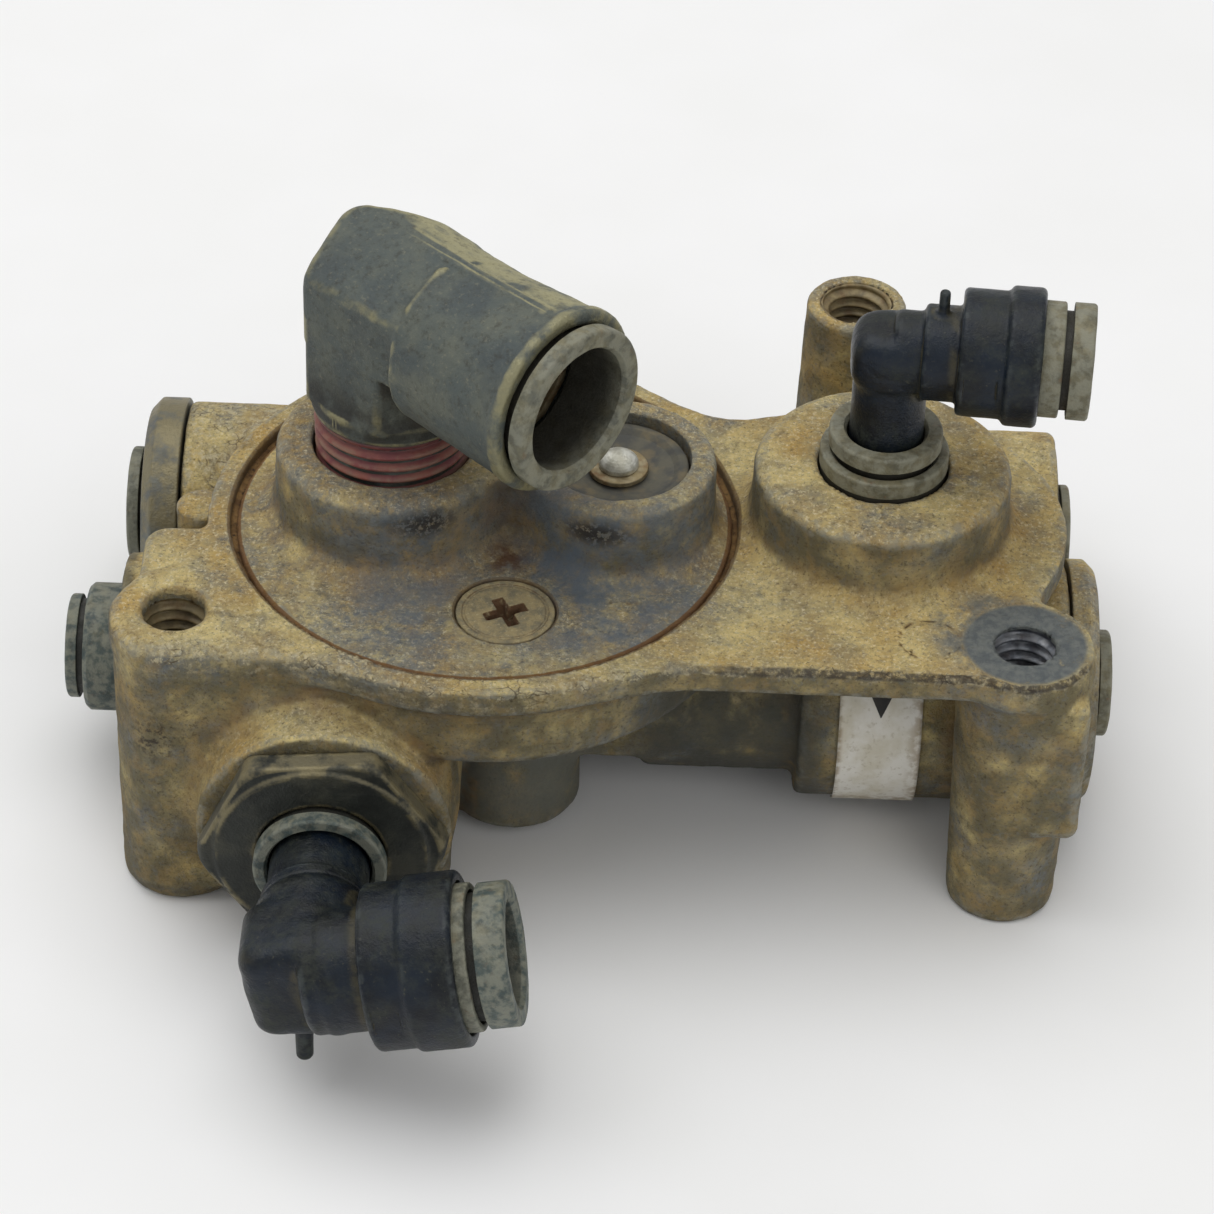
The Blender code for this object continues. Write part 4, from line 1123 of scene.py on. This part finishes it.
def dirt_ring():
    """Dirt packed in the groove round the cover, uneven on top."""
    steps = 240
    angle = np.arange(steps) * math.tau / steps
    rows = [(COVER_R - 0.15, -2.2), (COVER_R - 0.15, -1.6), (COVER_R + 0.4, -1.45),
            (SEAT_R + 0.15, -1.25), (SEAT_R + 0.15, -2.2)]
    points = []
    for i, (r, z) in enumerate(rows):
        ring = np.stack([r * np.cos(angle), r * np.sin(angle), z + 0 * angle], 1)
        if 0 < i < len(rows) - 1:
            ring[:, 2] += lumps(ring.astype(np.float32), 2.6, 2.2) * 0.3
        points.append(ring)
    faces = []
    for i in range(len(rows)):
        j = (i + 1) % len(rows)
        for k in range(steps):
            n = (k + 1) % steps
            faces.append((i * steps + k, j * steps + k, j * steps + n, i * steps + n))
    obj = to_mesh("groove_dirt", np.concatenate(points), np.array(faces))
    dress(obj, GRIME, "body", "cast_aluminium")


# ------------------------------------------------------------------ cover trim


def cover_trim():
    """Exhaust flap with its washer and rivet, and the cover's two screws."""
    x, y = EXHAUST
    flap = lathe("rubber_flap", [(9.1, 8.4), (9.1, 7.6), (8.0, 6.9), (5.0, 6.3), (1.8, 6.3), (1.8, 7.3),
                                 (5.0, 7.35), (7.2, 7.9), (8.0, 8.5)], (x, y, 0), UP, 96, 0.3, 0.04)
    dress(flap, FLAP, "body", "exhaust_rubber", "exhaust_flap")
    washer = lathe("rusty_washer", [(3.9, 8.35), (3.9, 7.6), (1.5, 7.6), (1.5, 8.35)], (x, y, 0), UP,
                   72, 0.2, 0.02)
    dress(washer, STEEL, "body", "zinc_steel", "exhaust_washer")
    crown = [(2.6 * math.cos(a), 8.7 + 1.7 * math.sin(a)) for a in np.linspace(math.pi / 2, 0, 9)]
    crown[0] = (0.0, 10.4)
    rivet = lathe("domed_rivet", crown + [(2.6, 8.35), (1.4, 8.35), (1.4, 3.2), (0.0, 3.2)],
                  (x, y, 0), UP, 64, 0.15, 0.0)
    dress(rivet, BRIGHT, "body", "turned_aluminium", "exhaust_rivet")
    for name, spot in SCREWS.items():
        screw = sculpt("detailed_" + name, lambda p, spot=spot: screw_field(p, spot),
                       (spot[0] - 7, spot[1] - 7, -12.6), (spot[0] + 7, spot[1] + 7, 0.2), 0.24, 0.45,
                       0.03, 0.9)
        dress(screw, SCREW, "body", "zinc_steel", name)


def screw_field(p, spot):
    """Countersunk cross-recess screw, its head just under the cover's face."""
    top = COVER_TOP - 0.15
    head = np.minimum(rod(p, (*spot, top - 0.5), (*spot, top), 6.33, 0.25),
                      rod(p, (*spot, top - 2.7), (*spot, top - 0.4), 2.8, 0.1, 6.2))
    shank = rod(p, (*spot, -12.0), (*spot, top - 1.5), 2.65, 0.4)
    total = np.minimum(head, shank)
    groove = np.hypot(np.abs(disc2(p, spot, 5.35)), p[:, 2] - top) - 0.2
    total = carve(0.2, total, groove)
    dx = p[:, 0] - spot[0]
    dy = p[:, 1] - spot[1]
    for turn in (25, 115):
        c, s = math.cos(math.radians(turn)), math.sin(math.radians(turn))
        along = np.abs(dx * c + dy * s)
        across = np.abs(dy * c - dx * s)
        depth = p[:, 2] - top
        wing = np.maximum(across - 0.75 - depth * 0.12, along - 2.9 - depth * 0.55)
        wing = np.maximum(wing, -depth - 2.1)
        total = carve(0.3, total, wing)
    return total


# ------------------------------------------------------------------ forged elbow


def forged_block(t, w, h):
    """Knee of the forging: six-sided riser and a roofed block in front of it, cut off at the back."""
    crown = meet(2.0, h * 0.857 - w * 0.515 - 10.39, h - 11.3)
    fall = t * 0.065
    pad = meet(0.6, h * 0.9135 + w * 0.4067 + fall - 12.0, (h + w) * 0.7071 + fall - 12.2,
               h * 0.65 + w * 0.67 - t * 0.35 - 11.1)
    roof = meet(0.6, crown, pad)
    back = meet(0.9, -t * 0.857 - w * 0.515 - 10.39, -t * 0.857 + w * 0.515 - 10.39)
    bevel = meet(0.9, h * 0.389 - t * 0.861 - w * 0.325 - 11.2, h * 0.389 - t * 0.861 + w * 0.325 - 11.2)
    shell = meet(0.9, roof, back, bevel, -w - 9.6, w - 9.6)
    upper = meet(0.6, shell, t - 10.2 - np.maximum(w + 1, 0) * 0.42, -h - 3.5)
    riser = meet(0.9, shell, t * 0.857 - w * 0.515 - 10.39, t * 0.857 + w * 0.515 - 10.39, -h - 12.6)
    return blend(0.6, upper, riser)


def forged_field(p):
    """Brass elbow: faceted knee, round barrel with a parting line, and a 5/8 inch socket."""
    x, y = SUPPLY
    top = np.array(UP)
    q = (p - KNEE).astype(np.float32)
    t = q @ OUT.astype(np.float32)
    h = q[:, 2]
    w = q @ ACROSS.astype(np.float32)
    barrel = rod(p, KNEE + OUT * 9.6, KNEE + OUT * REACH, 11.1, 0.6, 12.1)
    total = blend(0.7, forged_block(t, w, h), barrel)
    total = blend(0.5, total, rod(p, KNEE + OUT * (REACH - 1.6), KNEE + OUT * REACH, 12.3, 0.5))
    for offset in (0.0, -1.1):
        start = KNEE + OUT + ACROSS * (2.0 + offset) + top * 10.95
        finish = KNEE + OUT * 26.5 + ACROSS * (0.5 + offset) + top * 11.75
        total = blend(0.6, total, rod(p, start, finish, 0.38, 0.38))
    fin = rod(p, KNEE + OUT * 10.1 - ACROSS * 1.2 + top * 11.1,
              KNEE + OUT * 9.9 - ACROSS * 7.7 + top * 7.6, 0.6, 0.6)
    crease = rod(p, KNEE + OUT * 10.0 - ACROSS * 9.7 + top * 4.5,
                 KNEE + OUT * 10.0 - ACROSS * 9.7 - top * 2.4, 0.45, 0.45)
    total = blend(0.8, total, fin, crease)
    neck = blend(1.0, rod(p, (x, y, 16.2), (x, y, 19), 10.6, 0.3), total)
    total = blend(0.8, neck, rod(p, (x, y, 0.4), (x, y, 18), 9.6, 0.3))
    holes = [rod(p, KNEE + OUT * 17.5, KNEE + OUT * (REACH + 3), SOCKET_R, 0.3),
             rod(p, KNEE + OUT * (REACH - 0.9), KNEE + OUT * (REACH + 1), SOCKET_R - 0.2, 0.1, 11.6),
             rod(p, KNEE + OUT * 15.8, KNEE + OUT * 19, 8.24, 0.3),
             rod(p, KNEE - OUT * 3, KNEE + OUT * 17, 6.6, 0.3),
             rod(p, (x, y, -1), KNEE + top * 4, 6.6, 0.3)]
    return carve(0.3, total, *holes)


def forged_elbow():
    """Supply elbow and its taper thread."""
    corner = KNEE + OUT * REACH
    reach = 14.0
    lo = (SUPPLY[0] - 15.5, corner[1] - reach + 2, -0.4)
    hi = (corner[0] + reach - 3, SUPPLY[1] + 15.5, KNEE[2] + 13.6)
    elbow = sculpt("forged_elbow", forged_field, lo, hi, 0.4, 0.6, 0.05, 1.8)
    dress(elbow, BRASS, "body", "brass", "supply_elbow")
    male = thread("sealed_thread", 10.35, 9.65, 9.3, 1.8143, 5.0, 16.4, SUPPLY, taper=0.031)
    dress(male, SEALANT, "body", "brass")


# ------------------------------------------------------------------ moulded elbows


def moulded_field(p, corner, stem, out, tube, radii, ends, reach, shoulder, cap, step, sag, nub):
    """Composite plug-in elbow: stem, flat-capped knee and an outlet that grows in steps."""
    corner = np.array(corner, float)
    stem = np.array(stem, float)
    out = np.array(out, float)
    neck, body_r, rib_r, collar_r, sleeve_r, bore = radii
    way_r = min(tube - 1.6, cap - 1.2)
    half = neck * 0.94
    body_end, rib_end, collar_end = ends
    knee = rod(p, corner - stem * cap, corner + stem * shoulder, neck, min(3.2, neck * 0.5))
    bead = rod(p, corner + stem * (shoulder - 0.9), corner + stem * (shoulder + 0.9),
               (neck + tube) / 2, 0.4)
    total = blend(0.6, knee, rod(p, corner, corner + stem * reach, tube, 0.5), bead)
    low = corner + stem * sag
    side = np.cross(stem, out)
    q = (p - corner).astype(np.float32)
    limits = ((out, -neck, step + 1), (stem, -cap, neck), (side, -half, half))
    heel = [np.abs(q @ way.astype(np.float32) - (lo + hi) / 2) - (hi - lo) / 2 for way, lo, hi in limits]
    total = blend(0.8, total, meet(3.0, *heel))
    total = blend(0.5, total, rod(p, low, low + out * (step + 2), neck, 1.0))
    total = blend(0.7, total, rod(p, low + out * step, low + out * (body_end + 1), body_r, 0.6))
    rib = rod(p, corner + out * body_end, corner + out * (rib_end + 1), rib_r, 0.7)
    collar = rod(p, corner + out * rib_end, corner + out * collar_end, collar_r, 0.7)
    total = blend(0.5, total, rib, collar)
    u, v = frame_axes(out)
    t = q @ out.astype(np.float32)
    a = q @ u.astype(np.float32)
    b = q @ v.astype(np.float32)
    lens = np.maximum(np.abs(t - (body_end + rib_end) / 2) - (rib_end - body_end) / 2 + 0.9,
                      np.abs(b) - rib_r * 0.45)
    flat = np.maximum(lens, rib_r - 0.35 - np.abs(a))
    total = carve(0.4, total, flat)
    at, way, size, length = nub
    way = np.array(way, float)
    root = corner + out * at
    total = blend(0.8, total, rod(p, root, root + way * length, size * 1.1, size * 0.5, size * 0.9))
    deep = collar_end - 11.2 + 2.4
    holes = [rod(p, corner + out * (collar_end - 3.5), corner + out * (collar_end + 2),
                 sleeve_r + 0.3, 0.1),
             rod(p, corner + out * deep, corner + out * (collar_end - 3), bore, 0.2),
             rod(p, corner + out * (deep - 3), corner + out * (deep + 1), tube + 0.3, 0.2),
             rod(p, corner - out, corner + out * (deep - 2), way_r, 0.2),
             rod(p, corner - stem, corner + stem * (reach + 2), tube - 1.6, 0.2)]
    return carve(0.25, total, *holes)


def moulded_elbow(name, margin, cell, **shape):
    """Sculpts one composite elbow inside the box round its CAD node."""
    lo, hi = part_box(name)
    lo = np.array(lo) / MM - DATUM - margin
    hi = np.array(hi) / MM - DATUM + margin
    elbow = sculpt("moulded_" + name, lambda p: moulded_field(p, **shape), lo, hi, cell, 0.5, 0.02, 1.2)
    dress(elbow, COMPOSITE, name, "black_composite", name)


def moulded_elbows():
    """The service elbow on the dome and the delivery elbow in the front adapter."""
    moulded_elbow("service_elbow", np.array((0.8, 0.8, 1.4)), 0.27,
                  corner=SERVICE_KNEE, stem=DOWN, out=SERVICE_OUT, tube=TUBE_S,
                  radii=(5.1, 6.15, 8.15, 8.9, 7.4, BORE_S), ends=(8.4, 14.3, 18.8),
                  reach=32.0, shoulder=3.0, cap=2.9, step=3.8, sag=0.5, nub=(6.0, UP, 0.75, 9.0))
    moulded_elbow("delivery_elbow", np.array((0.8, 0.8, 6.0)), 0.32,
                  corner=DELIVERY_KNEE, stem=(0, 1, 0), out=DELIVERY_OUT, tube=TUBE_M,
                  radii=(7.6, 7.7, 10.35, 10.9, 9.2, BORE_M), ends=(8.0, 13.1, 19.8),
                  reach=33.0, shoulder=12.0, cap=4.2, step=2.4, sag=0.0, nub=(-0.6, DOWN, 1.2, 14.0))


# ------------------------------------------------------------------ ports


def collet_profile(tube, head_r, head_end):
    """Release collet: plain head with soft edges and a chamfered mouth, thin skirt behind."""
    inner = tube + 0.3
    skirt = tube + 1.55
    neck = 0.98
    return [(head_r, head_end, 0.45), (head_r, neck, 0.12), (skirt, neck, 0.1), (skirt, -6.0, 0.1),
            (inner, -6.0, 0.1), (inner, head_end - 0.6, 0.2), (inner + 0.4, head_end, 0.2)]


def collets():
    """A turned release collet at each port's face, for the CAD collet there."""
    service = SERVICE_KNEE + np.array(SERVICE_OUT) * 21.4
    delivery = DELIVERY_KNEE + np.array(DELIVERY_OUT) * 21.2
    dome = (*DOME, 11.8)
    # port, centre of its face, direction, tube radius, head radius, head height, look
    ports = [
        ("supply", KNEE + OUT * REACH, OUT, TUBE_L, 10.9, 3.0, BRASS_COLLET),
        ("service_elbow", service, SERVICE_OUT, TUBE_S, 7.45, 3.8, DUSTY_COLLET),
        ("delivery_elbow", delivery, DELIVERY_OUT, TUBE_M, 9.0, 4.8, PALE_COLLET),
        ("dome", dome, UP, TUBE_S, 7.33, 3.2, DUSTY_COLLET),
        ("front", FRONT_FACE, FRONT, TUBE_M, 8.5, 3.0, PALE_COLLET),
        ("left", LEFT_FACE, LEFT, TUBE_S, 6.95, 2.5, PALE_COLLET),
        ("shuttle_left", SHUTTLE_LEFT_FACE, LEFT, TUBE_S, 7.9, 2.6, COLLET),
        ("shuttle_right", SHUTTLE_RIGHT_FACE, RIGHT, TUBE_S, 7.2, 2.2, DUSTY_COLLET),
        ("end", END_FACE, RIGHT, TUBE_S, 7.1, 2.6, DUSTY_COLLET),
    ]
    for name, face, way, tube, head_r, head_end, look in ports:
        obj = lathe("ring_" + name, collet_profile(tube, head_r, head_end), face, way, 96, 0.2, 0.025)
        dress(obj, look, name + "_collet", "collet_plastic", name + "_collet")


def sleeves():
    """Cartridge sleeves and screwed adapters around the collets."""
    service = SERVICE_KNEE + np.array(SERVICE_OUT) * 19.0
    delivery = DELIVERY_KNEE + np.array(DELIVERY_OUT) * 19.8
    # body, centre of the sleeve's face, direction, bore, wall, height, look
    rings = [
        ("service_elbow", service, SERVICE_OUT, BORE_S, 7.4, 2.4, DUSTY_COLLET),
        ("delivery_elbow", delivery, DELIVERY_OUT, BORE_M, 9.2, 1.4, COLLET),
    ]
    for body, face, way, bore, wall, proud, look in rings:
        profile = [(wall, proud, 0.3), (wall, -3.2), (bore, -3.2), (bore, proud, 0.2)]
        sleeve = lathe("turned_" + body + "_sleeve", profile, face, way)
        dress(sleeve, look, body, "collet_plastic", body + "_sleeve")
    bore = BORE_S
    dome = lathe("turned_dome_sleeve", [(8.35, 11.8, 0.35), (8.35, 9.6, 0.1), (8.2, 9.6, 0.1), (8.2, -4.7),
                                        (bore, -4.7), (bore, 11.3, 0.1), (bore + 0.5, 11.8, 0.15)],
                 (*DOME, 0), UP)
    dress(dome, DUSTY_COLLET, "body", "collet_plastic", "dome_sleeve")
    left = lathe("turned_left_sleeve", [(8.0, 0, 0.3), (8.55, -0.6, 0.3), (8.55, -16.4),
                                        (bore, -16.4), (bore, 0, 0.2)],
                 LEFT_FACE, LEFT)
    dress(left, PALE_COLLET, "body", "collet_plastic", "left_sleeve")
    right = lathe("turned_shuttle_right_sleeve", [(8.55, 0, 0.3), (8.55, -17.0), (bore, -17.0),
                                                  (bore, 0, 0.2)],
                  SHUTTLE_RIGHT_FACE, RIGHT)
    dress(right, DUSTY_COLLET, "body", "collet_plastic", "shuttle_right_sleeve")
    port = lathe("turned_shuttle_adapter",
                 [(13.3, 0, 0.5), (14.9, -1.4, 0.5), (14.9, -5.1), (10.3, -5.1), (10.3, -19.0),
                  (3.565, -19.0), (3.565, -15.2), (5.065, -15.2), (5.065, -11.2), (bore, -11.2),
                  (bore, -0.5, 0.1), (bore + 0.5, 0, 0.2)],
                 SHUTTLE_LEFT_FACE, LEFT)
    dress(port, SHUTTLE_METAL, "body", "turned_aluminium", "shuttle_adapter")
    cap = lathe("turned_end_cap",
                [(11.6, -0.25, 0.2), (12.0, 0.0, 0.3), (15.1, 0, 0.5), (16.4, -1.3, 0.5), (16.4, -3.6),
                 (12.9, -3.6), (12.9, -10.0), (9.6, -10.0), (9.6, -17.0), (3.565, -17.0), (3.565, -14.2),
                 (5.065, -14.2), (5.065, -11.2), (bore, -11.2), (bore, -0.8, 0.1),
                 (bore + 0.6, -0.25, 0.2)],
                END_FACE, RIGHT)
    dress(cap, CAP, "body", "cast_aluminium", "end_cap")
    front_adapter()


def front_adapter():
    """Hex adapter in the front boss, its corners turned down by a chamfer."""
    face = np.array(FRONT_FACE)
    way = np.array(FRONT)
    steps = ((-11.2, 3.0, BORE_M), (-15.2, -10.0, 6.65), (-25.0, -14.0, 5.15))

    def field(p):
        bevel = rod(p, face - way * 3.9, face - way * 0.3, 16.6, 1.0, 15.6)
        hexagon = meet(0.5, prism(p, 6, 28.4, face - way * 3.8, face - way * 0.35, 35.0, 0.5, 0.5), bevel)
        total = blend(0.4, hexagon, rod(p, face - way * 2.0, face, 13.7, 0.4),
                      rod(p, face - way * 18.0, face - way * 3.0, 10.9, 0.5))
        return carve(0.3, total, *[rod(p, face + way * a, face + way * b, r, 0.1) for a, b, r in steps])

    span = 17.5
    adapter = sculpt("hex_adapter", field, (FRONT_X - span, -41.4, FRONT_Z - span),
                     (FRONT_X + span, -21.6, FRONT_Z + span), 0.36, 0.5, 0.03, 1.4)
    dress(adapter, ADAPTER, "body", "turned_aluminium", "front_adapter")


# ------------------------------------------------------------------ label

LABEL_R = 16.55


def bent_patch(name, x_of, down_lo, down_hi, lift, thick, columns, rows):
    """Thin film bent round the piston housing.  x_of gives its two ends along X at a share of its height;
    the angles count down from straight in front."""
    share = np.linspace(0, 1, rows)
    angle = np.radians(down_lo + (down_hi - down_lo) * share)
    ends = np.array([x_of(s) for s in share])
    across = np.linspace(0, 1, columns)
    x = ends[:, :1] + (ends[:, 1:] - ends[:, :1]) * across[None]
    layers = []
    for r in (LABEL_R + lift + thick, LABEL_R + lift):
        y = VALVE_Y - r * np.cos(angle)[:, None] + 0 * x
        z = BORE_Z - r * np.sin(angle)[:, None] + 0 * x
        layers.append(np.stack([x, y, z], -1).reshape(-1, 3))
    size = columns * rows
    faces = []
    for i in range(rows - 1):
        for j in range(columns - 1):
            a = i * columns + j
            faces.append((a, a + columns, a + columns + 1, a + 1))
            faces.append((size + a, size + a + 1, size + a + columns + 1, size + a + columns))
    border = [j for j in range(columns)]
    border += [i * columns + columns - 1 for i in range(1, rows)]
    border += [(rows - 1) * columns + j for j in range(columns - 2, -1, -1)]
    border += [i * columns for i in range(rows - 2, 0, -1)]
    for k, a in enumerate(border):
        b = border[(k + 1) % len(border)]
        faces.append((a, b, size + b, size + a))
    return to_mesh(name, np.concatenate(layers), np.array(faces))


def blank_label():
    """Curved film on the piston housing with a plain dark triangle and no print."""
    x0 = end("blank_label", 0, 0) + 0.1
    x1 = end("blank_label", 0, 1) - 0.1
    film = bent_patch("label_sheet", lambda s: (x0, x1), -57, 58, 0.0, 0.12, 24, 40)
    dress(film, PAPER, "body", "label_film", "blank_label")
    middle_x = (x0 + x1) / 2
    mark = bent_patch("label_mark", lambda s: (middle_x - 2.4 * (1.02 - s), middle_x + 2.4 * (1.02 - s)),
                      -38, -20, 0.125, 0.03, 8, 10)
    dress(mark, INK, "body", "label_film")


# ------------------------------------------------------------------ hidden pieces

HIDDEN = {
    "_grab_ring": STEEL,
    "_o_ring": SEAL,
    "_seal": SEAL,
    "piston_seal_large": SEAL,
    "piston_seal_small": SEAL,
    "relay_piston": TURNED,
    "stepped_piston": TURNED,
    "exhaust_valve": CLEAN_BRASS,
    "check_shuttle": CLEAN_BRASS,
    "inlet_check": CLEAN_BRASS,
}


def wound_spring(node, r, wire, start, end, turns=4):
    """Round-wire spring in place of the CAD's coarse one."""
    start = np.array(start, float)
    length = np.linalg.norm(np.array(end) - start)
    axis = (np.array(end) - start) / length
    u = frame_axes(axis)[0]
    v = np.cross(axis, u)
    per_turn, sides = 36, 12
    rows = turns * per_turn + 1
    angle = (np.arange(rows) * math.tau / per_turn)[:, None, None]
    around = (np.arange(sides) * math.tau / sides)[None, :, None]
    out = np.cos(angle) * u + np.sin(angle) * v
    rise = wire + (length - 2 * wire) * np.arange(rows)[:, None, None] / (rows - 1)
    points = start + axis * rise + out * r + wire * (np.cos(around) * out + np.sin(around) * axis)
    faces = []
    for i in range(rows - 1):
        here, after = i * sides, (i + 1) * sides
        faces += [(here + k, after + k, after + (k + 1) % sides, here + (k + 1) % sides)
                  for k in range(sides)]
    cap = [(-k % sides, k + 1, k + 2, (-k - 1) % sides) for k in range(sides // 2 - 1)]
    last = (rows - 1) * sides
    faces += cap + [tuple(last + k for k in reversed(quad)) for quad in cap]
    spring = to_mesh("wound_" + node, points.reshape(-1, 3), np.array(faces))
    dress(spring, SPRING, "body", "spring_steel", node)
    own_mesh(spring)


def springs():
    """The three springs, each between its seat and the piece it pushes."""
    wound_spring("relay_spring", 6.2, 0.55, (*EXHAUST, -17.6), (*EXHAUST, -9.9))
    wound_spring("piston_spring", 11.4, 0.65,
                 (58.3, VALVE_Y, BORE_Z), (70.5, VALVE_Y, BORE_Z))
    wound_spring("inlet_spring", 4.6, 0.45,
                 (FRONT_X, -9.3, FRONT_Z), (FRONT_X, 3.6, FRONT_Z))


def hidden_pieces():
    """The CAD's own inner pieces keep their meshes and get their looks."""
    for name, obj in frame["nodes"].items():
        for ending, look in HIDDEN.items():
            if name.endswith(ending):
                obj.data.materials.clear()
                obj.data.materials.append(look)


# ------------------------------------------------------------------ studio

CAMERA_AT = (18.47, -452.48, 353.26)
CAMERA_AIM = (16.31, 0.49, -15.0)
CAMERA_ROLL = 1.92
LENS = 130.7


def studio():
    """Pale floor, a large soft light overhead, weak fills, and the camera."""
    scene = bpy.context.scene
    bpy.ops.mesh.primitive_plane_add(size=8)
    floor = bpy.context.object
    floor.name = "floor"
    paint = Look("pale_floor")
    floor.data.materials.append(paint.finish(paint.mix(rgb(246, 246, 246), rgb(243, 243, 242),
                                                       paint.noise(60.0, 0.3, 0.7)), 0.9))
    world = bpy.data.worlds.new("studio")
    scene.world = world
    world.use_nodes = True
    sky = world.node_tree.nodes["Background"]
    sky.inputs["Color"].default_value = (1.0, 1.0, 1.0, 1.0)
    sky.inputs["Strength"].default_value = 0.56
    for name, spot, size, power in (("key", (-0.25, 0.15, 1.15), 1.3, 8.0),
                                    ("fill", (0.7, -1.0, 0.9), 0.8, 2.2)):
        light = bpy.data.lights.new(name, "AREA")
        light.size = size
        light.energy = power
        lamp = bpy.data.objects.new(name, light)
        lamp.location = spot
        lamp.rotation_mode = "QUATERNION"
        lamp.rotation_quaternion = (Vector((0, 0, 0.04)) - Vector(spot)).to_track_quat("-Z", "Y")
        scene.collection.objects.link(lamp)
    eye = Vector((DATUM + CAMERA_AT) * MM)
    aim = Vector((DATUM + CAMERA_AIM) * MM)
    lens = bpy.data.cameras.new("camera")
    lens.lens = LENS
    lens.clip_start = 0.01
    lens.clip_end = 20.0
    camera = bpy.data.objects.new("camera", lens)
    camera.location = eye
    camera.rotation_mode = "QUATERNION"
    roll = Quaternion((0, 0, 1), math.radians(CAMERA_ROLL))
    camera.rotation_quaternion = (aim - eye).to_track_quat("-Z", "Y") @ roll
    scene.collection.objects.link(camera)
    scene.camera = camera
    scene.view_settings.view_transform = "Standard"


castings()
cover_trim()
forged_elbow()
moulded_elbows()
collets()
sleeves()
blank_label()
springs()
hidden_pieces()
studio()
